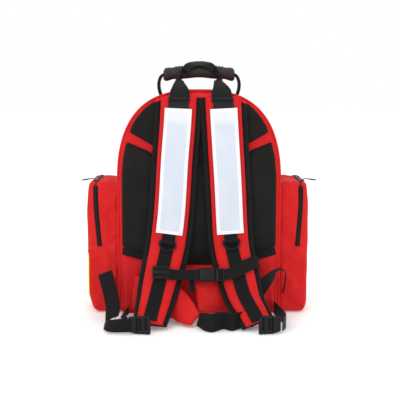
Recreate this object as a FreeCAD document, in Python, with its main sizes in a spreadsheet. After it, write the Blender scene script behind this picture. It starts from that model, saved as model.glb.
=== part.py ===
import FreeCAD, Part
import math
import os
import re

import Sketcher
from FreeCAD import Matrix, Placement, Rotation, Vector

# Trauma backpack, in millimetres. +Z is up, the pack stands on Z = 0, and -Y is the side that
# meets the wearer's back. Every Y is counted from the pack's rear face, at the cell rear_y, and
# "out" means away from that face, towards the wearer.

doc = FreeCAD.newDocument("TraumaBackpack")
sheet = doc.addObject("Spreadsheet::Sheet", "Dims")

DIMENSIONS = {
    # main compartment: a dome outline with a flat bottom
    "half_width": 153,
    "body_height": 424,
    "body_lift": 4,
    "crown_radius": 600,
    "shoulder_radius": 120,
    "corner_radius": 16,
    "rear_y": -55,
    "wall": 2.5,
    "panel_thick": 4,
    "gusset_depth": 121,
    "frame_thick": 2,
    "frame_inset": 8,
    "piping": 2.5,
    "zip_depth": 3,
    "flap_depth": 44,
    "sill_height": 60,
    "base_pad_half": 140,
    "divider_thick": 8,
    "divider_low_z": 145,
    "divider_high_z": 275,
    # padding on the rear face
    "pad_thick": 8,
    "pad_gap": 24,
    "binding_height": 15,
    "cover_thick": 6,
    # side pockets
    "pocket_gap": 10,
    "pocket_depth": 112,
    "pocket_height": 255.5,
    "pocket_lift": 1.5,
    "pocket_body_width": 44,
    "pocket_width": 57,
    "lid_z": 128,
    "pocket_radius": 14,
    # front pocket, on the flap
    "front_half": 115,
    "front_low": 62,
    "front_high": 256,
    "front_depth": 44,
    "front_lid_thick": 4,
    # webbing, tape and hardware
    "webbing": 25,
    "wide_webbing": 38,
    "webbing_thick": 2,
    "tape_width": 50,
    "tape_thick": 0.8,
    "strap_half": 43.3,
    "face_half": 33,
    "backing_thick": 6,
    "face_thick": 7,
    "skin_gap": 0.3,
    "slider_long": 11,
    "slider_wide": 8,
    "slider_thick": 4,
    "pull_long": 24,
    "ring_radius": 15.5,
    "ring_wire": 2,
    "harness_shift": 1.9,
    "lock_long": 40,
    "lock_wide": 33,
    "lock_thick": 6,
    "buckle_wide": 25,
    "buckle_thick": 8,
    # carry handle
    "grip_z": 464,
    "grip_half": 68,
    "grip_radius": 12.5,
    "handle_out": 52,
}

for row, (alias, value) in enumerate(DIMENSIONS.items(), start=1):
    sheet.set(f"A{row}", alias)
    sheet.set(f"B{row}", str(value))
    sheet.setAlias(f"B{row}", alias)
doc.recompute()

pieces = []
pivots = {}


def cells(text):
    """An expression in which each cell's alias is written with its sheet's name."""
    return re.sub(r"[a-z_]{3,}", lambda m: "Dims." + m[0] if m[0] in DIMENSIONS else m[0], str(text))


def cell(alias):
    return float(getattr(sheet, alias))


def number(text):
    """The value now of an expression made of cells."""
    return float(sheet.evalExpression(cells(text)))


def bind(thing, **properties):
    for name, expression in properties.items():
        thing.setExpression(name, cells(expression))


def put(thing, x=0, y=0, z=0):
    for axis, expression in zip("xyz", (x, y, z)):
        thing.setExpression(".Placement.Base." + axis, cells(expression))


def keep(thing, label):
    thing.Label = label
    pieces.append(thing)
    return thing


# ---------------------------------------------------------------- sketches and padded plates

SKETCH_DROP = 50  # a dome's sketch starts this far under the pack's bottom, so no size is negative


def new_body(name):
    return doc.addObject("PartDesign::Body", name)


def new_sketch(body, role, name):
    sketch = body.newObject("Sketcher::SketchObject", name)
    plane = [f for f in body.Origin.OriginFeatures if f.Role == role][0]
    sketch.AttachmentSupport = (plane, [""])
    sketch.MapMode = "FlatFace"
    return sketch


def fix(sketch, kind, *where_and_size):
    """A dimension on a sketch whose size, given last, is an expression."""
    *where, size = where_and_size
    index = sketch.addConstraint(Sketcher.Constraint(kind, *where, number(size)))
    sketch.setExpression(f"Constraints[{index}]", cells(size))


def dome(sketch, inset):
    """Adds the pack's outline, drawn `inset` inside its outer face: a flat bottom with round
    corners, straight sides, and a wide shoulder arc each side that runs into a flatter crown."""
    half, bottom = f"half_width - ({inset})", f"{SKETCH_DROP} + {inset}"
    crown_z = f"{SKETCH_DROP} + body_height - crown_radius"
    corner, shoulder = f"corner_radius - ({inset})", f"shoulder_radius - ({inset})"
    crown = f"crown_radius - ({inset})"
    w, z0, zc = number(half), number(bottom), number(crown_z)
    rb, rs, rc = number(corner), number(shoulder), number(crown)
    rise = math.sqrt((rc - rs) ** 2 - (w - rs) ** 2)
    zs = zc + rise
    lean = math.atan2(rise, w - rs)

    def arc(x, z, radius, start, end):
        return Part.ArcOfCircle(Part.Circle(Vector(x, z, 0), Vector(0, 0, 1), radius), start, end)

    right = math.pi / 2
    first = sketch.GeometryCount
    sketch.addGeometry(
        [
            Part.LineSegment(Vector(rb - w, z0, 0), Vector(w - rb, z0, 0)),
            arc(w - rb, z0 + rb, rb, -right, 0),
            Part.LineSegment(Vector(w, z0 + rb, 0), Vector(w, zs, 0)),
            arc(w - rs, zs, rs, 0, lean),
            arc(0, zc, rc, lean, math.pi - lean),
            arc(rs - w, zs, rs, math.pi - lean, math.pi),
            Part.LineSegment(Vector(-w, zs, 0), Vector(-w, z0 + rb, 0)),
            arc(rb - w, z0 + rb, rb, math.pi, 3 * right),
        ],
        False,
    )
    for k in range(8):
        sketch.addConstraint(Sketcher.Constraint("Tangent", first + k, 2, first + (k + 1) % 8, 1))
    sketch.addConstraint(Sketcher.Constraint("Horizontal", first))
    sketch.addConstraint(Sketcher.Constraint("Vertical", first + 2))
    sketch.addConstraint(Sketcher.Constraint("Vertical", first + 6))
    sketch.addConstraint(Sketcher.Constraint("PointOnObject", first + 4, 3, -2))
    for arc_index, size in ((1, corner), (7, corner), (3, shoulder), (5, shoulder), (4, crown)):
        fix(sketch, "Radius", first + arc_index, size)
    fix(sketch, "DistanceY", -1, 1, first, 1, bottom)
    fix(sketch, "DistanceY", -1, 1, first + 4, 3, crown_z)
    fix(sketch, "DistanceX", -1, 1, first + 2, 1, half)
    fix(sketch, "DistanceX", first + 6, 1, -1, 1, half)


def outline(sketch, corners):
    """Adds a closed polygon; each corner is a pair of expressions."""
    first = sketch.GeometryCount
    spots = [Vector(number(a), number(b), 0) for a, b in corners]
    count = len(spots)
    for k in range(count):
        sketch.addGeometry(Part.LineSegment(spots[k], spots[(k + 1) % count]), False)
    for k in range(count):
        sketch.addConstraint(Sketcher.Constraint("Coincident", first + k, 2, first + (k + 1) % count, 1))
    for k, (a, b) in enumerate(corners):
        fix(sketch, "DistanceX", -1, 1, first + k, 1, a)
        fix(sketch, "DistanceY", -1, 1, first + k, 1, b)


def pad(body, sketch, length, away=True):
    """Pads a sketch; one on the XZ plane grows along +Y."""
    feature = body.newObject("PartDesign::Pad", body.Name + "_pad")
    feature.Profile = sketch
    feature.Reversed = away
    bind(feature, Length=length)
    return feature


def dome_plate(label, y, depth, *insets):
    """A plate with the pack's outline, or with two insets a ring between two outlines."""
    body = new_body(label)
    sketch = new_sketch(body, "XZ_Plane", label + "_outline")
    for inset in insets:
        dome(sketch, inset)
    pad(body, sketch, depth)
    put(body, y=y, z=f"body_lift - {SKETCH_DROP}")
    return keep(body, label)


def plate(label, corners, y, depth, rounding=None, role="XZ_Plane", at=(0, 0)):
    """A flat plate with a polygon outline, its corner edges rounded. It stands in XZ."""
    body = new_body(label)
    sketch = new_sketch(body, role, label + "_outline")
    outline(sketch, corners)
    feature = pad(body, sketch, depth)
    if rounding:
        round_edges(body, feature, lambda d: abs(d.y) > 0.99, rounding)
    put(body, at[0], y, at[1])
    return keep(body, label)


def round_edges(body, feature, along, radius, where=lambda middle: True):
    """Rounds the straight edges of a feature whose direction and middle pass the two tests."""
    doc.recompute()
    names = []
    for k, edge in enumerate(feature.Shape.Edges, start=1):
        if len(edge.Vertexes) != 2 or not isinstance(edge.Curve, Part.Line):
            continue
        a, b = (v.Point for v in edge.Vertexes)
        if along((b - a).normalize()) and where((a + b) / 2):
            names.append(f"Edge{k}")
    rounded = body.newObject("PartDesign::Fillet", body.Name + "_round")
    rounded.Base = (feature, names)
    bind(rounded, Radius=radius)
    return rounded


def brick(body, kind, size, at):
    """An Additive or Subtractive box in a body."""
    feature = body.newObject(f"PartDesign::{kind}Box", body.Name + "_" + kind.lower())
    bind(feature, Length=size[0], Width=size[1], Height=size[2])
    put(feature, *at)
    return feature


# ---------------------------------------------------------------- draped strips


def smooth(points, count):
    """`count` places evenly along a smooth line through `points`, each with its direction and
    its share of the way from point to point."""
    curve = Part.BSplineCurve()
    curve.interpolate(points)
    marks = [curve.parameter(p) for p in points]
    marks[0], marks[-1] = curve.FirstParameter, curve.LastParameter
    stations = []
    for place in curve.discretize(Number=count):
        t = curve.parameter(place)
        k = max(i for i in range(len(marks) - 1) if marks[i] <= t + 1e-9)
        share = k + (t - marks[k]) / (marks[k + 1] - marks[k])
        stations.append((place, curve.tangent(t)[0], min(share, len(points) - 1)))
    return stations


def between(values, share):
    """A list's value part of the way between two entries; a single value stands for all."""
    if not isinstance(values, (list, tuple)):
        return values
    k = min(int(share), len(values) - 2)
    return values[k] * (1 - share + k) + values[k + 1] * (share - k)


def frame_at(place, along, across):
    """Across, outward and along as unit vectors at a station, the width as near `across` as
    the direction allows."""
    wide = (across - along * across.dot(along)).normalize()
    return wide, along.cross(wide).normalize(), along


def soft_strip(name, stations, across, half, low, high):
    """A soft strip through the stations of a smooth line. Its section is a rectangle from `low`
    to `high` on the outward side of the line and `half` to each side of it."""
    wires = []
    for place, along, share in stations:
        wide, out, _ = frame_at(place, along, between(across, share))
        w = between(half, share)
        a, b = between(low, share), between(high, share)
        ring = [place + wide * i * w + out * j for i, j in ((-1, a), (1, a), (1, b), (-1, b))]
        wires.append(Part.makePolygon(ring + ring[:1]))
    piece = doc.addObject("Part::Feature", name)
    piece.Shape = Part.makeLoft(wires, True, True)
    return piece


def strip(label, *how):
    return keep(soft_strip(label, *how), label)


def from_rear(points):
    """Harness points given as (x, distance out from the rear face, z). The harness hangs a little
    to the right of the pack's middle."""
    return [Vector(x + cell("harness_shift"), cell("rear_y") - out, z) for x, out, z in points]


# ---------------------------------------------------------------- main compartment

dome_plate("back_panel", "rear_y", "panel_thick", "0")
dome_plate("frame_sheet", "rear_y + panel_thick", "frame_thick", "frame_inset")
dome_plate("gusset", "rear_y + panel_thick", "gusset_depth", "0", "wall")
dome_plate("rear_piping", "rear_y", "panel_thick + 1", "0 - piping", "0")
dome_plate("main_zip_tape", "rear_y + panel_thick + gusset_depth", "zip_depth", "0", "wall")

GUSSET_END = "(rear_y + panel_thick + gusset_depth + zip_depth)"
FLAP_START = f"({GUSSET_END} + 0.4)"

base = new_body("base_pad")
brick(base, "Additive", ("2 * base_pad_half", "gusset_depth - 10", "body_lift"), (0, 0, 0))
round_edges(base, base.Tip, lambda d: abs(d.z) > 0.99, "corner_radius")
put(base, "0 - base_pad_half", "rear_y + panel_thick + 5", 0)
keep(base, "base_pad")

dividers = doc.addObject("Part::Compound", "dividers")
shelves = []
for name, z in (("divider_low", "divider_low_z"), ("divider_high", "divider_high_z")):
    shelf = doc.addObject("Part::Box", name)
    bind(
        shelf,
        Length="2 * (half_width - wall) - 4",
        Width="gusset_depth - frame_thick - 8",
        Height="divider_thick",
    )
    put(shelf, "wall + 2 - half_width", "rear_y + panel_thick + frame_thick + 1", z)
    shelves.append(shelf)
dividers.Links = shelves
keep(dividers, "dividers")

# Padding: an upper and a lower mesh pad, apart along two slanting channels that show the red
# panel at each side and meet behind the shoulder straps. The lower pad's bottom edge sags like a
# smile; a band binds it, and the lower cover starts under the band.
PAD_REAR = "rear_y - pad_thick"


def mirrored(half_outline):
    """A closed outline from the corners of its right half, listed from bottom to top."""
    return half_outline + [(f"0 - ({x})", z) for x, z in reversed(half_outline)]


def smile(drop):
    """The lower pad's bottom edge from the middle out, moved down by `drop`."""
    return [(x, f"{z} - {drop}") for x, z in (("58", 113), ("106", 122), ("130", 128), ("147", 134))]


plate(
    "mesh_pad_upper",
    mirrored([("26", "298"), ("131", "359"), ("111", "390"), ("91", "409"), ("70", "414")]),
    PAD_REAR,
    "pad_thick",
    "6",
)
plate(
    "mesh_pad_lower",
    mirrored(smile("0") + [("146", "278"), ("138", "359 - pad_gap"), ("34", "303 - pad_gap"), ("26", "297")]),
    PAD_REAR,
    "pad_thick",
    "4",
)
plate(
    "pad_binding",
    mirrored(smile("0.5 - binding_height") + smile("0.5")[::-1]),
    "rear_y - cover_thick - 1",
    "cover_thick + 1",
)
plate(
    "lower_back_cover",
    mirrored([("140", "body_lift + 6")] + smile("1 - binding_height")[::-1]),
    "rear_y - cover_thick",
    "cover_thick",
)

# ---------------------------------------------------------------- flap and front pocket



def front_tray(label, y, depth, cut_from, cut_height):
    """The pack's outline as a tray that opens to the rear, with a band of its height cut away."""
    tray = new_body(label)
    sketch = new_sketch(tray, "XZ_Plane", label + "_outline")
    dome(sketch, "0")
    pad(tray, sketch, depth)
    inside = new_sketch(tray, "XZ_Plane", label + "_inside")
    dome(inside, "wall")
    hollow = tray.newObject("PartDesign::Pocket", label + "_hollow")
    hollow.Profile = inside
    hollow.Reversed = False
    bind(hollow, Length=f"{depth} - wall")
    corner = ("0 - half_width - 1", "0 - 1", cut_from)
    brick(tray, "Subtractive", ("2 * half_width + 2", f"{depth} + 2", cut_height), corner)
    put(tray, y=y, z=f"body_lift - {SKETCH_DROP}")
    return keep(tray, label)


# The flap hinges on its face's lower edge, over a fixed sill that closes the front below it.
SILL_TOP = f"({SKETCH_DROP} + sill_height - body_lift)"
front_tray("front_sill", GUSSET_END, "flap_depth + 0.4", SILL_TOP, "body_height")
front_tray("flap_shell", FLAP_START, "flap_depth", "0", f"{SILL_TOP} + 0.4")

FLAP_FACE = f"({FLAP_START} + flap_depth)"
FRONT_WIDE, FRONT_TALL = "2 * front_half", "front_high - front_low"

front = new_body("front_pocket")
shell = brick(front, "Additive", (FRONT_WIDE, "front_depth", FRONT_TALL), (0, 0, 0))
rounded = round_edges(front, shell, lambda d: abs(d.y) > 0.99, "pocket_radius")
brick(
    front,
    "Subtractive",
    (f"{FRONT_WIDE} - 2 * wall", "front_depth - wall", f"{FRONT_TALL} - 2 * wall"),
    ("wall", "wall", "wall"),
)
put(front, "0 - front_half", FLAP_FACE, "front_low")
keep(front, "front_pocket")

front_zip = new_body("front_zip")
band = brick(front_zip, "Additive", (FRONT_WIDE, "zip_depth", FRONT_TALL), (0, 0, 0))
round_edges(front_zip, band, lambda d: abs(d.y) > 0.99, "pocket_radius")
brick(
    front_zip,
    "Subtractive",
    (f"{FRONT_WIDE} - 6 * wall", "zip_depth", f"{FRONT_TALL} - 6 * wall"),
    ("3 * wall", 0, "3 * wall"),
)
put(front_zip, "0 - front_half", f"{FLAP_FACE} + front_depth", "front_low")
keep(front_zip, "front_zip")

FRONT_LID = f"({FLAP_FACE} + front_depth + zip_depth + 0.4)"
front_lid = new_body("front_pocket_lid")
face = brick(front_lid, "Additive", (FRONT_WIDE, "front_lid_thick", FRONT_TALL), (0, 0, 0))
round_edges(front_lid, face, lambda d: abs(d.y) > 0.99, "pocket_radius")
put(front_lid, "0 - front_half", FRONT_LID, "front_low")
keep(front_lid, "front_pocket_lid")


def tape_band(label, size, at):
    """A flat strip of reflective tape."""
    band_box = doc.addObject("Part::Box", label)
    bind(band_box, Length=size[0], Width=size[1], Height=size[2])
    put(band_box, *at)
    return keep(band_box, label)


tape_band(
    "flap_tape",
    ("240", "tape_thick", "tape_width"),
    ("0 - 120", FLAP_FACE, "290"),
)
tape_band(
    "lid_tape",
    (f"{FRONT_WIDE} - 8", "tape_thick", "tape_width"),
    ("4 - front_half", f"{FRONT_LID} + front_lid_thick", "120"),
)

# ---------------------------------------------------------------- side pockets

POCKET_Y = "(rear_y + pocket_gap)"
LID_TALL = "(pocket_lift + pocket_height - lid_z)"
LID_DROP = 2  # each lid's top stays this much under its pocket's, so that it swings under the pull


def side_box(body, kind, side, near, far, y, deep, z, tall):
    """A box that stands on a side of the pack, `near` to `far` out from the main compartment."""
    x = f"half_width + {near}" if side > 0 else f"0 - half_width - ({far})"
    return brick(body, kind, (f"{far} - ({near})", deep, tall), (x, y, z))


side_tapes, side_zips = [], []
for side, word in ((-1, "left"), (1, "right")):
    pocket = new_body("side_pocket_" + word)
    side_box(
        pocket, "Additive", side, "0", "pocket_body_width", POCKET_Y, "pocket_depth",
        "pocket_lift", "pocket_height",
    )
    block = side_box(
        pocket, "Additive", side, "0", "pocket_width", POCKET_Y, "pocket_depth",
        "pocket_lift", "lid_z - pocket_lift",
    )
    outer = side * (cell("half_width") + cell("pocket_width"))
    round_edges(
        pocket, block, lambda d: abs(d.z) > 0.99, "pocket_radius",
        lambda middle, x=outer: abs(middle.x - x) < 1,
    )
    side_box(
        pocket, "Subtractive", side, "wall", "pocket_body_width + 1", f"{POCKET_Y} + wall",
        "pocket_depth - 2 * wall", "lid_z", "pocket_lift + pocket_height - lid_z - wall",
    )
    side_box(
        pocket, "Subtractive", side, "wall", "pocket_width - wall", f"{POCKET_Y} + wall",
        "pocket_depth - 2 * wall", "pocket_lift + wall", "lid_z - pocket_lift - wall + 1",
    )
    keep(pocket, "side_pocket_" + word)

    lid = new_body("side_lid_" + word)
    LID_NEAR = "(pocket_body_width + zip_depth + 0.8)"
    skin = side_box(
        lid, "Additive", side, LID_NEAR, "pocket_width", POCKET_Y, "pocket_depth",
        "lid_z + 0.5", f"{LID_TALL} - {LID_DROP} - 0.5",
    )
    round_edges(
        lid, skin, lambda d: abs(d.y) > 0.99 or abs(d.z) > 0.99, "pocket_radius - 7",
        lambda middle, x=outer: abs(middle.x - x) < 1 and middle.z > cell("lid_z") + 1,
    )
    side_box(
        lid, "Subtractive", side, f"{LID_NEAR} - 1", "pocket_width - wall", f"{POCKET_Y} + wall",
        "pocket_depth - 2 * wall", "lid_z + wall", f"{LID_TALL} - {LID_DROP} - 2 * wall",
    )
    keep(lid, "side_lid_" + word)

    zipper = new_body("zip_" + word)
    side_box(
        zipper, "Additive", side, "pocket_body_width + 0.2", "pocket_body_width + zip_depth",
        POCKET_Y, "pocket_depth", "lid_z + 0.2", f"{LID_TALL} - 0.2",
    )
    side_box(
        zipper, "Subtractive", side, "pocket_body_width", "pocket_body_width + zip_depth + 1",
        f"{POCKET_Y} + 2 * wall", "pocket_depth - 4 * wall", "lid_z - 1", f"{LID_TALL} + 1 - 2 * wall",
    )
    side_zips.append(zipper)

    patch = doc.addObject("Part::Box", "side_tape_" + word)
    bind(patch, Length="tape_thick", Width="tape_width", Height="lid_z - pocket_lift - 12")
    put(
        patch,
        "half_width + pocket_width" if side > 0 else "0 - half_width - pocket_width - tape_thick",
        f"{POCKET_Y} + (pocket_depth - tape_width) / 2",
        "pocket_lift + 6",
    )
    side_tapes.append(patch)

for label, members in (("side_zips", side_zips), ("side_tapes", side_tapes)):
    group = doc.addObject("Part::Compound", label)
    group.Links = members
    keep(group, label)

# ---------------------------------------------------------------- zip sliders and pulls


def slider(label, middle, turn=Rotation()):
    """A zip slider whose travel is its local X and whose top is its local Z: a flat body, with a
    bridge over it that holds the pull."""
    block = doc.addObject("Part::Box", label + "_body")
    bind(block, Length="slider_long", Width="slider_wide", Height="slider_thick - 1.5")
    put(block, "0 - slider_long / 2", "0 - slider_wide / 2", 0)
    bridge = doc.addObject("Part::Box", label + "_bridge")
    bind(bridge, Length="slider_long - 3", Width="3", Height="slider_thick")
    put(bridge, "1.5 - slider_long / 2", "0 - 1.5", 0)
    whole = doc.addObject("Part::Fuse", label)
    whole.Base, whole.Tool = block, bridge
    whole.Placement = Placement(middle, turn)
    return keep(whole, label)


def pull_tab(label, hinge, turn=Rotation()):
    """A moulded pull that leaves its hinge along its local X: an eye, a neck and a ribbed tab."""
    body = new_body(label)
    sketch = new_sketch(body, "XY_Plane", label + "_outline")
    outline(
        sketch,
        [
            ("0.5", "0 - 1.6"),
            ("8", "0 - 1.6"),
            ("10", "0 - 3.2"),
            ("pull_long", "0 - 3.2"),
            ("pull_long", "3.2"),
            ("10", "3.2"),
            ("8", "1.6"),
            ("0.5", "1.6"),
        ],
    )
    pad(body, sketch, "2.2", away=False)
    body.Placement = Placement(hinge, turn)
    return keep(body, label)


def droop(heading, angle=8):
    """Turns a pull to lean out at a heading, a little under level."""
    return Rotation(Vector(0, 0, 1), heading) * Rotation(Vector(0, 1, 0), angle)


POCKET_TOP = number("pocket_lift + pocket_height")
SLIDER_Y = number(f"{POCKET_Y} + 16")
ALONG_Y = Rotation(Vector(0, 0, 1), 90)
for side, word in ((-1, "left"), (1, "right")):
    slider_x = side * number("half_width + pocket_body_width + zip_depth / 2")
    slider_at = Vector(slider_x, SLIDER_Y, POCKET_TOP + 0.3)
    slider("side_slider_" + word, slider_at, ALONG_Y)
    pull_tab("side_pull_" + word, slider_at + Vector(side * 2, 0, 3.6), droop(0 if side > 0 else 180))

main_at = Vector(-number("half_width + 0.3"), number(f"{GUSSET_END} - 1.5"), 180)
slider("main_slider", main_at, Rotation(Vector(0, 1, 0), -90))
pull_tab("main_pull", main_at + Vector(-3.4, 0, -6.2), Rotation(Vector(0, 1, 0), 90))

front_at = Vector(40, number(f"{FLAP_FACE} + front_depth + zip_depth / 2"), number("front_high") + 0.3)
slider("front_slider", front_at)
pull_tab("front_pull", front_at + Vector(0, 2, 3.6), droop(90, 3))

# ---------------------------------------------------------------- shoulder straps

# The middle of each strap, as (x, out from the rear face, z). It hangs from the top seam, lies
# on the padding, runs straight where the sternum slider travels, then leans out to the floor.
STRAP_LINE = {
    "left": [
        (-41.8, 15, 411), (-44, 15.5, 370), (-49, 16.5, 310), (-54, 17.5, 230), (-60, 20, 165),
        (-66, 29, 125), (-70.5, 37.7, 105), (-75, 46.3, 85), (-79.5, 55, 65), (-84, 72, 43),
        (-88.5, 94, 24), (-91, 107, 12.5),
    ],
    "right": [
        (45.8, 15, 411), (47.5, 15.5, 370), (50.5, 16.5, 310), (54.5, 17.5, 230), (57, 20, 165),
        (62, 29, 125), (67, 37.7, 105), (72, 46.3, 85), (77, 55, 65), (85, 72, 44.5),
        (97, 93, 27), (105, 106, 14.5),
    ],
}
X_AXIS = Vector(1, 0, 0)
Y_AXIS = Vector(0, 1, 0)
Z_AXIS = Vector(0, 0, 1)
GAP = cell("skin_gap")
FACE = cell("face_thick")
ON_FACE = FACE + GAP
WEB = cell("webbing_thick")
ON_WEB = ON_FACE + WEB + GAP
HALF_WEB = cell("webbing") / 2
STRAP_STATIONS = 44
TAPER = [1, 1, 1, 1, 1, 0.98, 0.96, 0.93, 0.9, 0.84, 0.77, 0.72]

bands = {}
strap_lines = {word: smooth(from_rear(line), STRAP_STATIONS) for word, line in STRAP_LINE.items()}


def strap_frame(word, z):
    """The place on a strap's line at height z, with its across, outward and down directions."""
    stations = smooth(from_rear(STRAP_LINE[word]), 400)
    place, along, _ = min(stations, key=lambda s: abs(s[0].z - z))
    return place, *frame_at(place, along, X_AXIS)


def stretch(word, high, low):
    """The stations of a strap's line between two heights."""
    return [s for s in strap_lines[word] if low <= s[0].z <= high]


for word, line in strap_lines.items():
    backing_half = [cell("strap_half") * t for t in TAPER]
    face_half = [cell("face_half") * t for t in TAPER]
    strip("strap_backing_" + word, line, X_AXIS, backing_half, -GAP - cell("backing_thick"), -GAP)
    strip("strap_pad_" + word, line, X_AXIS, face_half, 0, FACE)
    bands[word] = soft_strip(
        "webbing_band_" + word, stretch(word, 406, 15), X_AXIS, HALF_WEB, ON_FACE, ON_FACE + WEB
    )
    strip(
        "reflective_strip_" + word, stretch(word, 398, 162), X_AXIS, cell("tape_width") / 2,
        ON_WEB, ON_WEB + cell("tape_thick"),
    )

# ---------------------------------------------------------------- D-rings and ladder locks


def set_frame(place, x_dir, y_dir, z_dir):
    """A placement whose local axes are the three directions."""
    m = Matrix(
        x_dir.x, y_dir.x, z_dir.x, place.x,
        x_dir.y, y_dir.y, z_dir.y, place.y,
        x_dir.z, y_dir.z, z_dir.z, place.z,
        0, 0, 0, 1,
    )
    return Placement(m)


RING_Z = {"left": 146, "right": 149}
for word in STRAP_LINE:
    place, wide, out, down = strap_frame(word, RING_Z[word])
    lift = out * (ON_WEB + cell("ring_wire") + 1.2)
    pivots["d_ring_" + word] = (place + lift, wide)
    hoop = doc.addObject("Part::Torus", "hoop_" + word)
    bind(hoop, Radius1="ring_radius", Radius2="ring_wire", Angle3="180")
    bar = doc.addObject("Part::Cylinder", "bar_" + word)
    bind(bar, Radius="ring_wire", Height="2 * ring_radius")
    bar.Placement = Placement(Vector(-cell("ring_radius"), 0, 0), Rotation(Y_AXIS, 90))
    ring = doc.addObject("Part::Fuse", "d_ring_" + word)
    ring.Base, ring.Tool = hoop, bar
    # the hoop's half circle lies on its local +Y side, which points down the strap
    ring.Placement = set_frame(place + lift, wide * -1, down, down.cross(wide))
    keep(ring, "d_ring_" + word)

    # a folded end of webbing holds the ring's bar against the strap
    tab = doc.addObject("Part::Box", "keeper_block_" + word)
    bind(tab, Length="webbing - 2", Width="12", Height="2 * ring_wire + 5")
    put(tab, "1 - webbing / 2", "0 - 9.4", "0 - ring_wire - 1.2")
    tunnel = doc.addObject("Part::Box", "keeper_tunnel_" + word)
    bind(tunnel, Length="webbing", Width="2 * ring_wire + 0.8", Height="2 * ring_wire + 0.8")
    put(tunnel, "0 - webbing / 2", "0 - ring_wire - 0.4", "0 - ring_wire - 0.4")
    keeper = doc.addObject("Part::Cut", "keeper_" + word)
    keeper.Base, keeper.Tool = tab, tunnel
    keeper.Placement = ring.Placement
    webbing = doc.addObject("Part::Compound", "strap_webbing_" + word)
    webbing.Links = [bands[word], keeper]
    keep(webbing, "strap_webbing_" + word)

# Each ladder lock stands on its edge beside the strap's end, its bars upright, so that the lower
# webbing runs through it level with the floor.
LOCK_MIDDLE = {"left": (-108, 125, 17.3), "right": (125, 130, 17.3)}
LOCK_TURN = {"left": -8, "right": 10}
for word, spot in LOCK_MIDDLE.items():
    side = -1 if word == "left" else 1
    lock = new_body("ladder_lock_" + word)
    sketch = new_sketch(lock, "XZ_Plane", "lock_outline_" + word)
    outline(
        sketch,
        [
            ("0 - lock_long / 2", "0 - lock_wide / 2"),
            ("lock_long / 2 - 9", "0 - lock_wide / 2"),
            ("lock_long / 2", "0 - lock_wide / 2 + 1"),
            ("lock_long / 2", "lock_wide / 2 - 1"),
            ("lock_long / 2 - 9", "lock_wide / 2"),
            ("0 - lock_long / 2", "lock_wide / 2"),
        ],
    )
    feature = pad(lock, sketch, "lock_thick")
    round_edges(lock, feature, lambda d: abs(d.y) > 0.99, "3")
    for start in (-16, -6, 5):
        brick(
            lock, "Subtractive", ("7", "lock_thick + 2", "webbing + 1.5"),
            (str(start), "0 - 1", "0 - (webbing + 1.5) / 2"),
        )
    turn = Rotation(Z_AXIS, LOCK_TURN[word] if side > 0 else 180 + LOCK_TURN[word])
    middle = from_rear([spot])[0]
    lock.Placement = Placement(middle, turn)
    # the rounded end points away from the strap; the bar at the other end is sewn to the strap
    pivots["ladder_lock_" + word] = (middle + turn.multVec(Vector(-17, cell("lock_thick") / 2, 0)), Z_AXIS)
    keep(lock, "ladder_lock_" + word)

# ---------------------------------------------------------------- lower webbing and its tails

ON_EDGE = [Z_AXIS] * 8


def ribbon(label, points, across, half, thick, count):
    """A strip whose middle follows the points, given out from the rear face."""
    strip(label, smooth(from_rear(points), count), across, half, -thick / 2, thick / 2)


ribbon(
    "lower_webbing_left",
    [(-138, 8, 14), (-143, 40, 14), (-144, 78, 14.5), (-141, 106, 16), (-131, 120, 17.3)],
    Z_AXIS, HALF_WEB, WEB, 12,
)
ribbon(
    "webbing_tail_left",
    [(-130, 132, 17.3), (-147, 131, 16), (-163, 126, 14.5), (-172, 115, 14.5), (-171, 98, 17),
     (-165, 80, 27), (-165, 57, 43), (-171, 34, 61), (-179, 15, 84)],
    [Z_AXIS, Z_AXIS, Z_AXIS, Vector(0.1, 0.15, 1), Vector(0.35, 0.2, 0.9), Vector(0.85, 0.1, 0.5),
     Vector(1, 0, 0.1), Vector(1, 0, 0.15), Vector(0.95, 0, 0.3)],
    HALF_WEB, WEB, 26,
)
ribbon(
    "lower_webbing_right",
    [(143, 8, 14), (149, 36, 14), (154, 66, 14.5), (156, 98, 15.5), (149.5, 122, 17.3)],
    Z_AXIS, HALF_WEB, WEB, 12,
)
ribbon(
    "webbing_tail_right",
    [(127, 51, 42), (133, 49.5, 62), (140, 46, 81), (149, 38, 91), (159, 27, 94), (167, 18, 87),
     (170, 13, 68), (168, 11, 44)],
    [Vector(0.9, 0, -0.45), Vector(0.85, 0.1, -0.5), Vector(0.7, 0.5, -0.5), Vector(0.45, 0.9, -0.3),
     Vector(0.1, 1, 0), Vector(0, 1, 0), Vector(0, 1, 0), Vector(0, 1, 0)],
    [12, 12, 12, 11, 8, 5, 4, 4], WEB, 22,
)

# ---------------------------------------------------------------- sternum strap

# It lies in a plane that leans with the straps' straight stretch: `rise` runs up that stretch
# and `away` points out of it.
slope = math.atan2(55 - 29, 125 - 65)
rise = Vector(0, math.sin(slope), math.cos(slope))
away = Vector(0, -math.cos(slope), math.sin(slope))
STERNUM_Z = 86
left_place = strap_frame("left", STERNUM_Z)[0]
STERNUM = Vector(0, left_place.y, left_place.z)


def on_sternum(x, out, up):
    return STERNUM + X_AXIS * x + away * out + rise * up


SLIDER_OUT = ON_WEB + 1
slide_x = left_place.x
sternum_slider = new_body("sternum_slider")
brick(sternum_slider, "Additive", ("webbing + 8", "4", "28"), ("0 - webbing / 2 - 4", "0 - 4", "0 - 14"))
for start in (-11, 3):
    brick(
        sternum_slider, "Subtractive", ("webbing", "6", "8"),
        ("0 - webbing / 2", "0 - 5", str(start)),
    )
sternum_slider.Placement = set_frame(
    on_sternum(slide_x, SLIDER_OUT, 4), X_AXIS, away * -1, rise
)
keep(sternum_slider, "sternum_slider")

BUCKLE_OUT = ON_WEB + 1.2
BUCKLE_X = -5
FEMALE_LONG, MALE_LONG = 35, 17


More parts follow.
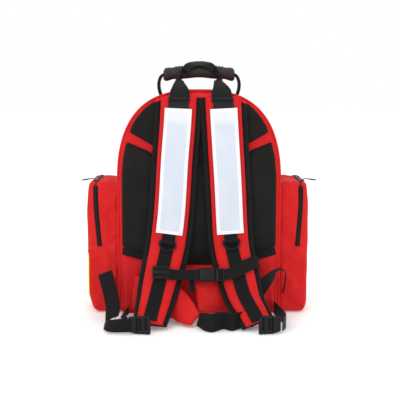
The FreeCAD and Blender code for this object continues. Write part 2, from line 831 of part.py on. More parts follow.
def buckle_half(label, start, long, wide):
    """A buckle housing in the sternum plane from x = start."""
    body = new_body(label)
    shell_box = brick(body, "Additive", (str(long), "buckle_thick", wide), (0, 0, f"0 - {wide} / 2"))
    round_edges(body, shell_box, lambda d: abs(d.x) > 0.99, "2.5")
    body.Placement = set_frame(
        on_sternum(start, BUCKLE_OUT + cell("buckle_thick"), 0), X_AXIS, away * -1, rise
    )
    return body


female = buckle_half("buckle_female", BUCKLE_X, FEMALE_LONG, "buckle_wide")
brick(
    female, "Subtractive", ("24", "buckle_thick - 3", "buckle_wide - 5"),
    (str(FEMALE_LONG - 24), "1.5", "0 - (buckle_wide - 5) / 2"),
)
brick(female, "Subtractive", ("4", "buckle_thick + 2", "20"), ("3", "0 - 1", "0 - 10"))
keep(female, "buckle_female")

male = buckle_half("buckle_male", BUCKLE_X + FEMALE_LONG + 0.6, MALE_LONG, "buckle_wide")
brick(male, "Subtractive", ("5", "buckle_thick + 2", "20"), (str(MALE_LONG - 9), "0 - 1", "0 - 10"))
for low in ("0 - 9.4", "0 - 1.6", "6.2"):
    brick(male, "Additive", ("20.6", "buckle_thick - 4", "3.2"), ("0 - 20", "2", low))
keep(male, "buckle_male")

STERNUM_WEB = 10


def sternum_band(label, points, half, count):
    """Webbing in the sternum plane; each point is (x, out from the strap's middle, up)."""
    strip(label, smooth([on_sternum(*p) for p in points], count), rise, half, -WEB / 2, WEB / 2)


sternum_band(
    "sternum_webbing_left",
    [(slide_x + 20, SLIDER_OUT + 2, 1.5), (slide_x + 27, SLIDER_OUT + 3, 0.5),
     (BUCKLE_X - 8, BUCKLE_OUT + 4, 0), (BUCKLE_X - 0.4, BUCKLE_OUT + 4, 0)],
    STERNUM_WEB, 8,
)
MALE_END = BUCKLE_X + FEMALE_LONG + 0.6 + MALE_LONG
sternum_band(
    "sternum_webbing_right",
    [(MALE_END + 3, BUCKLE_OUT + 4, 0), (MALE_END + 12, BUCKLE_OUT + 4, 3),
     (MALE_END + 32, SLIDER_OUT + 4, 13), (MALE_END + 50, SLIDER_OUT + 2, 22),
     (MALE_END + 64, SLIDER_OUT - 8, 27)],
    [STERNUM_WEB, STERNUM_WEB + 1, STERNUM_WEB + 2, STERNUM_WEB + 2, STERNUM_WEB + 1], 12,
)

# the adjuster's spare end hangs behind the webbing
TAIL_AT = STERNUM + away * 11
strip(
    "sternum_tail",
    smooth([Vector(-14, TAIL_AT.y, 83), Vector(-13, TAIL_AT.y - 6, 72), Vector(-12, TAIL_AT.y - 16, 64)], 7),
    X_AXIS, 5, -WEB / 2, WEB / 2,
)

# ---------------------------------------------------------------- carry handle

HANDLE_Y = cell("rear_y") + cell("handle_out")
GRIP_Z, GRIP_HALF, GRIP_R = cell("grip_z"), cell("grip_half"), cell("grip_radius")
GRIP_SAG = 6
grip_arc = Part.Arc(
    Vector(-GRIP_HALF, HANDLE_Y, GRIP_Z - GRIP_SAG), Vector(0, HANDLE_Y, GRIP_Z),
    Vector(GRIP_HALF, HANDLE_Y, GRIP_Z - GRIP_SAG),
).toShape()
grip_end = Part.Wire(
    Part.makeCircle(GRIP_R, grip_arc.Vertexes[0].Point, grip_arc.tangentAt(grip_arc.FirstParameter))
)
grip = doc.addObject("Part::Feature", "handle_grip")
grip.Shape = Part.Wire(grip_arc).makePipeShell([grip_end], True, False)
keep(grip, "handle_grip")

legs = []
for side in (-1, 1):
    start = GRIP_HALF + 0.9
    leg_line = [
        Vector(side * start, HANDLE_Y, GRIP_Z - GRIP_SAG - 0.5),
        Vector(side * (start + 6), HANDLE_Y, GRIP_Z - GRIP_SAG - 7),
        Vector(side * (start + 8), HANDLE_Y, GRIP_Z - 24),
        Vector(side * (start + 4), HANDLE_Y, number("body_lift + body_height") - 7),
    ]
    wires = []
    for place, along, share in smooth(leg_line, 10):
        wide, out, _ = frame_at(place, along, Y_AXIS)
        w = between([10, 13, 18, 19], share)
        corners = [place + wide * i * w + out * j for i, j in ((-1, -1), (1, -1), (1, 1), (-1, 1))]
        wires.append(Part.makePolygon(corners + corners[:1]))
    legs.append(Part.makeLoft(wires, True, True))
webbing_legs = doc.addObject("Part::Feature", "handle_webbing")
webbing_legs.Shape = Part.makeCompound(legs)
keep(webbing_legs, "handle_webbing")

# The rear loop rises from the tops of the two straps, turns its width from across to fore and
# aft as it leans on the grip, and crosses over it.
LOOP_HALF = cell("wide_webbing") / 2
REAR = cell("rear_y")
LOOP_SIDE = [
    # x, y, z, the way the webbing's width points, half the width
    (41, REAR - 16, 413, (1, 0, 0), LOOP_HALF),
    (41, REAR - 12, 426, (1, 0, 0), LOOP_HALF),
    (40, REAR + 8, 443, (1, 0.1, 0), 11),
    (36, HANDLE_Y - 23, 456, (-0.7, 0.2, 0.5), 8),
    (27, HANDLE_Y - 16, 471, (-0.2, 0.45, 0.85), 8),
    (13, HANDLE_Y - 9, 477.5, (0, 0.84, 0.55), 9),
]
LOOP_TOP = (0, HANDLE_Y - 6, 479.5, (0, 0.91, 0.41), 9)
LOOP_SHIFT = 2.5  # its ends follow the straps, a little right of the pack's middle


def loop_half(side):
    """The loop's points on one side, from the strap's top up; side is -1 or 1."""
    found = []
    for x, y, z, (wx, wy, wz), half in LOOP_SIDE:
        across = Vector(wx, wy, wz) if side < 0 else Vector(-wx, -wy, -wz)
        if side < 0 and abs(wx) < 0.9:
            across = Vector(wx, -wy, -wz)
        found.append((Vector(side * x + (LOOP_SHIFT if z < 450 else 0), y, z), across, half))
    return found


top_x, top_y, top_z, top_across, top_half = LOOP_TOP
loop = loop_half(-1) + [(Vector(top_x, top_y, top_z), Vector(*top_across) * -1, top_half)]
loop += loop_half(1)[::-1]
strip(
    "rear_loop",
    smooth([place for place, _, _ in loop], 36),
    [across for _, across, _ in loop],
    [half for _, _, half in loop], -0.9, 0.9,
)

# ---------------------------------------------------------------- hip belt

# Each padded wing leaves the lower corner, passes behind its shoulder strap and lolls outward;
# the belt's webbing leaves the left wing's end and stands on its edge in two waves.
WING = 10
ribbon(
    "hip_wing_left",
    [(-128, 14, 46), (-96, 27, 43), (-68, 38, 41), (-44, 54, 36), (-21, 77, 27), (-4, 93, 18.5)],
    [Z_AXIS, Vector(0, 0.1, 1), Vector(0, 0.3, 1), Vector(0.02, 0.55, 0.83), Vector(0.15, 0.5, 0.85),
     Vector(0.3, 0.45, 0.85)],
    [36, 34, 34, 31, 24, 15], WING, 16,
)
ribbon(
    "hip_wing_right",
    [(128, 14, 50), (88, 22, 50), (42, 39, 50), (-3, 58, 51)],
    [Z_AXIS, Vector(0, 0.1, 1), Vector(0, 0.35, 0.93), Vector(-0.28, 0.5, 0.83)],
    [36, 35, 32, 29], WING, 12,
)
ribbon(
    "hip_webbing",
    [(1, 102, 18), (9, 110, 18.5), (22, 117, 18.5), (37, 112, 18.5), (50, 109, 18.5), (62, 114, 18.5),
     (71, 110, 18.5)],
    [Vector(0.2, 0.3, 0.9), Vector(0, 0.2, 1), Z_AXIS, Z_AXIS, Z_AXIS, Z_AXIS, Z_AXIS],
    [12, 16, 17, 17, 17, 17, 17], WEB, 22,
)

# ---------------------------------------------------------------- check and export

doc.recompute()
faults = [o.Label for o in doc.Objects if {"Invalid", "Error"} & set(o.State)]
faults += [o.Label for o in pieces if o.Shape.isNull() or not o.Shape.isValid() or not o.Shape.Solids]
if faults:
    raise RuntimeError(f"these objects failed: {sorted(set(faults))}")

os.makedirs("parts", exist_ok=True)
low = [min(getattr(o.Shape.BoundBox, e) for o in pieces) for e in ("XMin", "YMin", "ZMin")]
high = [max(getattr(o.Shape.BoundBox, e) for o in pieces) for e in ("XMax", "YMax", "ZMax")]
for piece in pieces:
    piece.Shape.exportStep(os.path.join("parts", piece.Label + ".step"))
print(len(pieces), "pieces from", [round(v, 1) for v in low], "to", [round(v, 1) for v in high])
for name, (point, axis) in pivots.items():
    print(f"{name} turns about", [round(v, 2) for v in point], [round(v, 4) for v in axis])
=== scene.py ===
import math

import bmesh
import bpy
import numpy as np
from mathutils import Matrix, Vector, noise


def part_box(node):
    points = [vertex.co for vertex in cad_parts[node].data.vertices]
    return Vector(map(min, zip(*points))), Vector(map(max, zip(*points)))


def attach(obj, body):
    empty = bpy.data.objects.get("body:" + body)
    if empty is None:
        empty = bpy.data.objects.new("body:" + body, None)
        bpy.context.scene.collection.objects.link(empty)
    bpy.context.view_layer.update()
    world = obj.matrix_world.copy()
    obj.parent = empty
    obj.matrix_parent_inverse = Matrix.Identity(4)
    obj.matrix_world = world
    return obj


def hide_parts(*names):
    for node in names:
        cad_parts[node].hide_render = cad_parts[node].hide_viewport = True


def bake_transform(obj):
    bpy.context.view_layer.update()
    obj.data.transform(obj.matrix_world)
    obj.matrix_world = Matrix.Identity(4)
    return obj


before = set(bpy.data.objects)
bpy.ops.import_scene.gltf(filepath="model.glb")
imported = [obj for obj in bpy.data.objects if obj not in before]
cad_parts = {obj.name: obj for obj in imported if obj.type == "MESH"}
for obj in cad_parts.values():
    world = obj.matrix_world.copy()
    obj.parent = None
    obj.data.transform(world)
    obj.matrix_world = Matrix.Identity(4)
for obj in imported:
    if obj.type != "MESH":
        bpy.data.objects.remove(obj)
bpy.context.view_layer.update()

# Sizes below are millimetres, in the part's own frame; meshes are written in metres.
MM = 0.001
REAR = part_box("back_panel")[0].y / MM

# ---------------------------------------------------------------- materials


class Shader:
    """A material's node tree, with short ways to add nodes."""

    def __init__(self, name, color=(0.5, 0.5, 0.5), rough=0.6, **sockets):
        self.mat = bpy.data.materials.new(name)
        self.mat.use_nodes = True
        self.tree = self.mat.node_tree
        self.bsdf = self.tree.nodes["Principled BSDF"]
        self.bsdf.inputs["Base Color"].default_value = (*color, 1)
        self.bsdf.inputs["Roughness"].default_value = rough
        for key, value in sockets.items():
            self.bsdf.inputs[key.replace("_", " ")].default_value = value
        self.mat.diffuse_color = (*color, 1)

    def node(self, kind, **settings):
        made = self.tree.nodes.new("ShaderNode" + kind)
        for key, value in settings.items():
            setattr(made, key, value)
        return made

    def link(self, source, socket):
        if isinstance(source, (int, float)):
            socket.default_value = source
        elif isinstance(source, tuple):
            socket.default_value = (*source, 1)[: len(socket.default_value)]
        else:
            self.tree.links.new(source, socket)

    def math(self, operation, *values):
        made = self.node("Math", operation=operation)
        for value, socket in zip(values, made.inputs):
            self.link(value, socket)
        return made.outputs[0]

    def times(self, a, b):
        return self.math("MULTIPLY", a, b)

    def split(self, source):
        made = self.node("SeparateXYZ")
        self.link(source, made.inputs[0])
        return made.outputs

    def place(self):
        """The piece's own coordinates, in metres, as x, y and z."""
        return self.split(self.node("TexCoord").outputs["Object"])

    def strip(self):
        """Across, along and edge distance in millimetres, as a swept piece stores them."""
        return self.split(self.node("Attribute", attribute_name="strip").outputs["Vector"])

    def noise(self, scale, detail=2.0, stretch=None):
        made = self.node("TexNoise")
        made.inputs["Scale"].default_value = scale
        made.inputs["Detail"].default_value = detail
        vector = self.node("TexCoord").outputs["Object"]
        if stretch:
            mapping = self.node("Mapping")
            mapping.inputs["Scale"].default_value = stretch
            self.link(vector, mapping.inputs[0])
            vector = mapping.outputs[0]
        self.link(vector, made.inputs["Vector"])
        return made.outputs["Fac"]

    def step(self, value, low, high):
        """0 below low, 1 above high, smooth between."""
        made = self.node("MapRange", interpolation_type="SMOOTHSTEP")
        self.link(value, made.inputs["Value"])
        made.inputs["From Min"].default_value = low
        made.inputs["From Max"].default_value = high
        return made.outputs["Result"]

    def scale(self, value, low, high):
        """Brings a value from 0-1 to low-high."""
        made = self.node("MapRange")
        self.link(value, made.inputs["Value"])
        made.inputs["To Min"].default_value = low
        made.inputs["To Max"].default_value = high
        return made.outputs["Result"]

    def mix(self, factor, a, b):
        """Blends two colours. For colours the node's sockets are inputs 6 and 7 and output 2."""
        made = self.node("Mix", data_type="RGBA")
        self.link(factor, made.inputs["Factor"])
        self.link(a, made.inputs[6])
        self.link(b, made.inputs[7])
        return made.outputs[2]

    def color(self, source):
        self.link(source, self.bsdf.inputs["Base Color"])

    def rough(self, source):
        self.link(source, self.bsdf.inputs["Roughness"])

    def bump(self, height, depth, strength=1.0):
        """Adds a bump of `depth` metres; several stack up."""
        made = self.node("Bump")
        made.inputs["Strength"].default_value = strength
        made.inputs["Distance"].default_value = depth
        self.link(height, made.inputs["Height"])
        normal = self.bsdf.inputs["Normal"]
        if normal.is_linked:
            self.link(normal.links[0].from_socket, made.inputs["Normal"])
        self.link(made.outputs[0], normal)

    def wave(self, value, pitch):
        """A sine of a length in the value's own unit, from 0 to 1."""
        turns = self.times(value, 2 * math.pi / pitch)
        return self.math("MULTIPLY_ADD", self.math("SINE", turns), 0.5, 0.5)

    def worn(self, low=0.52, high=0.6):
        """1 on sharp outer edges."""
        return self.step(self.node("NewGeometry").outputs["Pointiness"], low, high)


def srgb(r, g, b):
    """A linear colour from display values of 0 to 255."""

    def linear(c):
        c /= 255
        return c / 12.92 if c <= 0.04045 else ((c + 0.055) / 1.055) ** 2.4

    return (linear(r), linear(g), linear(b))


def make_fabric(name, color, dark, light, pitch=0.0011, rough=0.62, shine=0.14):
    """A plain coated weave: yarns cross in the piece's own coordinates, so no mapping is needed."""
    s = Shader(name, color, rough, Sheen_Weight=0.03, Sheen_Roughness=0.45, Specular_IOR_Level=shine)
    x, y, z = s.place()
    weave = s.times(s.wave(x, pitch), s.wave(z, pitch))
    weave = s.math("ADD", weave, s.times(s.wave(y, pitch), 0.5))
    cloud = s.noise(26, 3)
    fine = s.noise(420, 2)
    tone = s.mix(s.scale(cloud, 0.1, 0.9), dark, light)
    tone = s.mix(s.times(s.step(weave, 0.1, 0.9), 0.22), tone, dark)
    tone = s.mix(s.times(s.worn(0.53, 0.62), 0.3), tone, light)
    s.color(tone)
    s.rough(s.scale(fine, rough - 0.08, rough + 0.08))
    s.bump(s.noise(38, 3, stretch=(1, 1, 0.6)), 0.0016, 0.55)
    s.bump(weave, 0.00012, 0.6)
    return s.mat


def make_mesh(name, color, dark, light, pitch=0.0034):
    """Spacer mesh: rows of staggered holes in the knit that faces the wearer."""
    s = Shader(name, color, 0.75, Sheen_Weight=0.03, Sheen_Roughness=0.5, Specular_IOR_Level=0.1)
    x, _, z = s.place()
    v = s.math("DIVIDE", z, pitch)
    shift = s.times(s.math("FLOORED_MODULO", s.math("FLOOR", v), 2.0), 0.5)
    u = s.math("ADD", s.math("DIVIDE", x, pitch), shift)
    du = s.math("SUBTRACT", s.math("FRACT", u), 0.5)
    dv = s.math("SUBTRACT", s.math("FRACT", v), 0.5)
    far = s.math("SQRT", s.math("ADD", s.times(du, du), s.times(dv, dv)))
    knit = s.step(far, 0.2, 0.42)
    rib = s.wave(z, pitch)
    tone = s.mix(knit, dark, color)
    tone = s.mix(s.times(rib, 0.35), tone, light)
    tone = s.mix(s.times(s.step(s.noise(18, 3), 0.3, 0.8), 0.4), tone, light)
    s.color(tone)
    s.rough(s.scale(knit, 0.9, 0.65))
    s.bump(s.noise(30, 2), 0.002, 0.4)
    s.bump(s.math("ADD", knit, s.times(rib, 0.6)), 0.0006, 0.8)
    return s.mat


def make_webbing(name, color, light):
    """Nylon webbing: ribs across it, a herringbone lean and firm edges."""
    s = Shader(name, color, 0.6, Sheen_Weight=0.03, Sheen_Roughness=0.4, Specular_IOR_Level=0.14)
    across, along, edge = s.strip()
    lean = s.times(s.math("PINGPONG", across, 3.1), 0.7)
    rib = s.wave(s.math("ADD", along, lean), 1.7)
    yarn = s.wave(across, 1.3)
    knit = s.math("ADD", rib, s.times(yarn, 0.5))
    rim = s.step(edge, 2.2, 0.8)
    tone = s.mix(s.times(rib, 0.55), color, light)
    tone = s.mix(s.times(rim, 0.5), tone, light)
    tone = s.mix(s.times(s.noise(60, 3), 0.35), tone, color)
    s.color(tone)
    s.rough(s.scale(rib, 0.62, 0.46))
    s.bump(knit, 0.00035, 0.8)
    s.bump(rim, 0.0003, 0.5)
    return s.mat


def make_tape(name, color, border, stitch):
    """Reflective tape: a glass-bead centre in a plain border sewn near its edge."""
    s = Shader(name, color, 0.42, Specular_IOR_Level=0.6, Sheen_Weight=0.1)
    across, along, edge = s.strip()
    inside = s.step(edge, 5.6, 6.6)
    bead = s.noise(900, 2)
    crease = s.noise(16, 3, stretch=(1.6, 1.0, 1.0))
    # a swept tape is paler at its start; flat tapes begin past that, at TAPE_START
    fresh = s.step(along, 34, 18)
    pale = s.math("MULTIPLY_ADD", s.step(crease, 0.35, 0.75), 0.3, s.times(fresh, 0.6))
    centre = s.mix(pale, color, border)
    centre = s.mix(s.times(bead, 0.2), centre, stitch)
    tone = s.mix(inside, border, centre)
    row = s.times(s.step(edge, 2.3, 2.7), s.step(edge, 3.7, 3.3))
    thread = s.times(row, s.step(s.wave(s.math("ADD", along, across), 3.4), 0.35, 0.6))
    s.color(s.mix(s.times(thread, 0.45), tone, stitch))
    s.rough(s.scale(bead, 0.34, 0.55))
    s.bump(crease, 0.0018, 0.35)
    s.bump(s.math("SUBTRACT", s.times(inside, -0.35), thread), 0.0004, 0.6)
    return s.mat


def make_plastic(name, color, light, rough=0.42, grain=900, **more):
    """Moulded plastic with a fine sparked grain, lighter along worn edges."""
    s = Shader(name, color, rough, Specular_IOR_Level=0.22, **more)
    pit = s.noise(grain, 3)
    tone = s.mix(s.times(s.noise(90, 3), 0.4), color, light)
    s.color(s.mix(s.times(s.worn(), 0.5), tone, light))
    s.rough(s.scale(pit, rough - 0.1, rough + 0.14))
    s.bump(pit, 0.00012, 0.5)
    return s.mat


def make_zip(name, color, light):
    """Woven zip tape; where the strip is near its middle, moulded coil teeth."""
    s = Shader(name, color, 0.6, Specular_IOR_Level=0.15)
    across, along, _ = s.strip()
    coil = s.step(s.math("ABSOLUTE", across), 1.9, 1.3)
    teeth = s.wave(along, 1.6)
    weave = s.times(s.wave(along, 1.1), s.wave(across, 1.1))
    tone = s.mix(s.times(weave, 0.4), color, light)
    tone = s.mix(coil, tone, s.mix(teeth, color, light))
    s.color(tone)
    s.rough(s.scale(coil, 0.68, 0.35))
    s.bump(s.math("ADD", s.times(coil, teeth), s.times(weave, 0.3)), 0.0007, 0.8)
    return s.mat


def make_metal(name, color, light):
    s = Shader(name, color, 0.38, Metallic=0.85)
    s.color(s.mix(s.times(s.worn(), 0.7), color, light))
    s.rough(s.scale(s.noise(300, 3), 0.3, 0.5))
    s.bump(s.noise(700, 2), 0.00008, 0.4)
    return s.mat


BLACK, BLACK_UP = srgb(12, 11, 11), srgb(27, 25, 25)
RED_DARK, RED_LIGHT = (0.50, 0.005, 0.006), (0.68, 0.018, 0.019)
MAT = {
    "red": make_fabric("red_fabric", (0.62, 0.008, 0.009), RED_DARK, RED_LIGHT),
    "red_low": make_fabric("red_fabric_coated", (0.61, 0.009, 0.010), RED_DARK, RED_LIGHT, rough=0.56),
    "mesh": make_mesh("spacer_mesh", srgb(27, 26, 24), srgb(9, 8, 8), srgb(38, 37, 35)),
    "binding": make_fabric(
        "black_binding", srgb(15, 15, 15), srgb(9, 9, 9), srgb(30, 30, 30), pitch=0.0013, shine=0.12
    ),
    "webbing": make_webbing("black_webbing", BLACK, BLACK_UP),
    "webbing_grey": make_webbing("grey_webbing", srgb(30, 28, 28), srgb(48, 45, 45)),
    "tape": make_tape("reflective_tape", (0.58, 0.635, 0.72), (0.79, 0.785, 0.81), (0.42, 0.47, 0.55)),
    "hi_vis": make_tape("hi_vis_tape", (0.62, 0.66, 0.72), (0.76, 0.80, 0.06), (0.35, 0.36, 0.06)),
    "plastic": make_plastic("hard_plastic", srgb(10, 10, 11), srgb(30, 30, 32)),
    "sheet": make_plastic("frame_plastic", srgb(40, 42, 46), srgb(70, 72, 76), 0.5, 300),
    "grip": make_plastic("grip_rubber", srgb(42, 37, 37), srgb(62, 57, 56), 0.6, 700, Sheen_Weight=0.05),
    "zip": make_zip("zip_tape", srgb(16, 16, 17), srgb(42, 42, 44)),
    "metal": make_metal("zip_metal", srgb(48, 48, 52), srgb(120, 120, 126)),
    "pull": make_plastic("pull_plastic", srgb(18, 18, 20), srgb(46, 46, 50), 0.5),
    "lining": make_fabric(
        "lining", srgb(70, 72, 76), srgb(54, 56, 60), srgb(90, 92, 96), pitch=0.0009, rough=0.5
    ),
    "base": make_fabric(
        "base_cloth", srgb(26, 26, 28), srgb(16, 16, 18), srgb(42, 42, 46), pitch=0.0016, shine=0.1
    ),
    "thread": make_plastic("thread", srgb(150, 26, 30), srgb(220, 70, 70), 0.6, 1500),
    "thread_black": make_plastic("thread_black", srgb(34, 34, 36), srgb(66, 66, 70), 0.6, 1500),
}

# ---------------------------------------------------------------- mesh helpers


def arr(points):
    return np.asarray(points, float)


def unit(v):
    v = arr(v)
    return v / np.linalg.norm(v, axis=-1, keepdims=True)


def lengths(points):
    """The length along a run of points, up to each of them."""
    return np.concatenate([[0], np.cumsum(np.linalg.norm(np.diff(points, axis=0), axis=1))])


def between(at, marks, values):
    """Rows of values, worked out between the marks that they are given at."""
    return np.stack([np.interp(at, marks, column) for column in arr(values).T], 1)


def add_object(name, data):
    obj = bpy.data.objects.new(name, data)
    bpy.context.scene.collection.objects.link(obj)
    return obj


def smooth(mesh, sharp=None):
    """Shades a mesh smooth, with hard edges from an angle in degrees up."""
    mesh.polygons.foreach_set("use_smooth", np.ones(len(mesh.polygons), bool))
    if sharp:
        mesh.set_sharp_from_angle(angle=math.radians(sharp))


def mesh_from(bm, name, mats):
    """Turns a finished bmesh into a mesh with these materials."""
    mesh = bpy.data.meshes.new(name)
    bm.to_mesh(mesh)
    bm.free()
    for m in mats:
        mesh.materials.append(m)
    return mesh


def piece(name, verts, faces, mats, body=None, slot=None, cad=(), picks=None, strip=None, sharp=50):
    """A mesh piece from points in millimetres. `picks` gives each face its material's place in
    `mats`; `strip` gives each point its across, along and edge distance."""
    mesh = bpy.data.meshes.new(name)
    mesh.from_pydata((arr(verts) * MM).tolist(), [], [list(map(int, f)) for f in faces])
    for m in [mats] if isinstance(mats, str) else mats:
        mesh.materials.append(MAT[m])
    if picks is not None:
        mesh.polygons.foreach_set("material_index", np.asarray(picks, np.int32))
    if strip is not None:
        layer = mesh.attributes.new("strip", "FLOAT_VECTOR", "POINT")
        layer.data.foreach_set("vector", np.asarray(strip, np.float32).ravel())
    mesh.update()
    smooth(mesh, sharp)
    return dress(add_object(name, mesh), body, slot, *cad)


def dress(obj, body=None, slot=None, *cad):
    """Says what body a piece rides on and which CAD nodes it stands for. `slot`, the finish it would take, is
    not used.
    """
    if body:
        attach(obj, body)
    if cad:
        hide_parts(*cad)
    return obj


def grid_faces(rows, columns, closed=True, offset=0, flip=False):
    """Quads between rows of points; `closed` joins each row's last point to its first."""
    faces = []
    span = columns if closed else columns - 1
    for i in range(rows - 1):
        for j in range(span):
            k = (j + 1) % columns
            quad = [i * columns + j, i * columns + k, (i + 1) * columns + k, (i + 1) * columns + j]
            faces.append([offset + q for q in (quad[::-1] if flip else quad)])
    return faces


def clean(obj):
    """Makes the faces point outward."""
    bm = bmesh.new()
    bm.from_mesh(obj.data)
    bmesh.ops.recalc_face_normals(bm, faces=bm.faces)
    bm.to_mesh(obj.data)
    bm.free()
    return obj


def modify(obj, kind, **settings):
    """Adds a modifier and applies it."""
    made = obj.modifiers.new(kind.lower(), kind)
    for key, value in settings.items():
        setattr(made, key, value)
    return bake(obj)


def bake(obj):
    """Applies an object's modifiers."""
    graph = bpy.context.evaluated_depsgraph_get()
    graph.update()
    mesh = bpy.data.meshes.new_from_object(obj.evaluated_get(graph))
    obj.modifiers.clear()
    old = obj.data
    obj.data = mesh
    bpy.data.meshes.remove(old)
    return obj


def join(name, parts, body=None, slot=None, cad=()):
    """One object from several, with their materials."""
    bm = bmesh.new()
    mats = []
    for part in parts:
        for m in part.data.materials:
            if m not in mats:
                mats.append(m)
        remap = [mats.index(m) for m in part.data.materials]
        first = len(bm.faces)
        bm.from_mesh(part.data)
        bm.faces.ensure_lookup_table()
        for f in bm.faces[first:]:
            f.material_index = remap[f.material_index] if remap else 0
    mesh = mesh_from(bm, name, mats)
    for part in parts:
        bpy.data.objects.remove(part)
    mesh.set_sharp_from_angle(angle=math.radians(50))
    return dress(add_object(name, mesh), body, slot, *cad)


def block(name, lo, hi, radius, mat, place=None, segments=3, taper=None):
    """A box with rounded edges between two corners, in millimetres, then moved by `place`."""
    bm = bmesh.new()
    bmesh.ops.create_cube(bm, size=1)
    lo, hi = arr(lo), arr(hi)
    for v in bm.verts:
        v.co = Vector(lo + (arr(v.co) + 0.5) * (hi - lo))
        if taper:
            v.co = Vector(taper(*v.co))
    bmesh.ops.bevel(
        bm, geom=bm.edges[:], offset=radius, segments=segments, affect="EDGES", profile=0.5,
        clamp_overlap=True,
    )
    if place is not None:
        bmesh.ops.transform(bm, matrix=place, verts=bm.verts)
    bmesh.ops.scale(bm, vec=(MM, MM, MM), verts=bm.verts)
    mesh = mesh_from(bm, name, [MAT[mat]])
    smooth(mesh, 40)
    return add_object(name, mesh)


def blocks(mat, place, specs):
    """Rounded boxes from their corners and radius, then their segments and taper if given."""
    return [block("block", lo, hi, radius, mat, place, *more) for lo, hi, radius, *more in specs]


def frame_matrix(origin, x_dir, y_dir, z_dir):
    """The matrix that places a piece's own axes."""
    m = Matrix.Identity(4)
    for k, axis in enumerate((x_dir, y_dir, z_dir, origin)):
        for r in range(3):
            m[r][k] = axis[r]
    return m


# ---------------------------------------------------------------- lines and swept strips


def line(points, count):
    """A smooth line through `points`: `count` even places, their directions, each one's share of
    the way from point to point, and the length up to it."""
    p = arr(points)
    n = len(p)
    t = lengths(p)
    h = np.diff(t)
    # a cubic spline: `bend` is its second derivative at each point
    a = np.zeros((n, n))
    b = np.zeros((n, 3))
    a[0, 0] = a[-1, -1] = 1
    a[0, 1] = a[-1, -2] = -0.5
    for i in range(1, n - 1):
        a[i, i - 1], a[i, i], a[i, i + 1] = h[i - 1], 2 * (h[i - 1] + h[i]), h[i]
        b[i] = 6 * ((p[i + 1] - p[i]) / h[i] - (p[i] - p[i - 1]) / h[i - 1])
    bend = np.linalg.solve(a, b)
    u = np.linspace(0, t[-1], 1600)
    k = np.clip(np.searchsorted(t, u, side="right") - 1, 0, n - 2)
    x, hk = (u - t[k])[:, None], h[k][:, None]
    y = hk - x
    curve = (
        bend[k] * y**3 / (6 * hk) + bend[k + 1] * x**3 / (6 * hk)
        + (p[k] / hk - bend[k] * hk / 6) * y + (p[k + 1] / hk - bend[k + 1] * hk / 6) * x
    )
    run = lengths(curve)
    even = np.linspace(0, run[-1], count)
    place = between(even, run, curve)
    share = np.interp(np.interp(even, run, u), t, np.arange(n))
    return place, unit(np.gradient(place, axis=0)), share, even


def path_through(points, run=None):
    """A path in the form that `line` gives, with exactly these places."""
    run = lengths(points) if run is None else run
    return points, unit(np.gradient(points, axis=0)), np.arange(len(points), dtype=float), run


def at_share(values, share):
    """Values given at a line's points, worked out at its stations; one number stands for all."""
    if np.ndim(values) == 0:
        return np.full(len(share), float(values))
    marks = np.arange(len(values))
    if np.ndim(values) == 1:
        return np.interp(share, marks, values)
    return between(share, marks, values)


def frames(path, across):
    """A path's places, with unit directions across it and out of it."""
    place, along, share, run = path
    wide = at_share(across, share) if np.ndim(across) == 2 else np.tile(arr(across), (len(place), 1))
    wide = unit(wide - along * np.sum(wide * along, 1)[:, None])
    return place, wide, np.cross(along, wide), run, share


def sweep(name, path, across, half, section, mat, ripple=None, picks=None, **more):
    """Sweeps a closed section along a line. A section point is (share of the half width, extra
    millimetres, out); the strip values for its shader are stored with each point."""
    place, wide, out, run, share = frames(path, across)
    w = at_share(half, share)
    section = arr(section)
    u = w[:, None] * section[:, 0] + section[:, 1]
    v = np.tile(section[:, 2], (len(place), 1))
    rows, cols = u.shape
    along = np.tile(run[:, None], (1, cols))
    if ripple is not None:
        v = v + ripple(u, along, section)
    verts = place[:, None, :] + wide[:, None, :] * u[..., None] + out[:, None, :] * v[..., None]
    edge = np.minimum(w[:, None] - np.abs(u), np.minimum(along, run[-1] - along))
    strip = np.stack([u, along, edge], -1).reshape(-1, 3)
    faces = grid_faces(rows, cols) + end_caps(rows, cols)
    face_mats = None
    if picks is not None:
        face_mats = list(picks) * (rows - 1) + [0, 0]
    return clean(piece(name, verts.reshape(-1, 3), faces, mat, strip=strip, picks=face_mats, **more))


def end_caps(rows, cols):
    """The faces that close the first and the last row of a swept grid."""
    return [list(range(cols))[::-1], list(range((rows - 1) * cols, rows * cols))]


def flat_section(thick, steps=6, edge=0.6, low=None):
    """A webbing's section: flat faces with rounded edges."""
    a, b = (-thick / 2, thick / 2) if low is None else (low, low + thick)
    e = min(edge, (b - a) / 2)
    top = [(-1, 0, (a + b) / 2), (-1, e * 0.35, b - e * 0.35), (-1, e, b)]
    top += [(-1 + 2 * k / steps, 0, b) for k in range(1, steps)]
    top += [(1, -e, b), (1, -e * 0.35, b - e * 0.35), (1, 0, (a + b) / 2)]
    under = [(1, -e * 0.35, a + e * 0.35), (1, -e, a)]
    under += [(1 - 2 * k / steps, 0, a) for k in range(1, steps)]
    under += [(-1, e, a), (-1, e * 0.35, a + e * 0.35)]
    return top + under


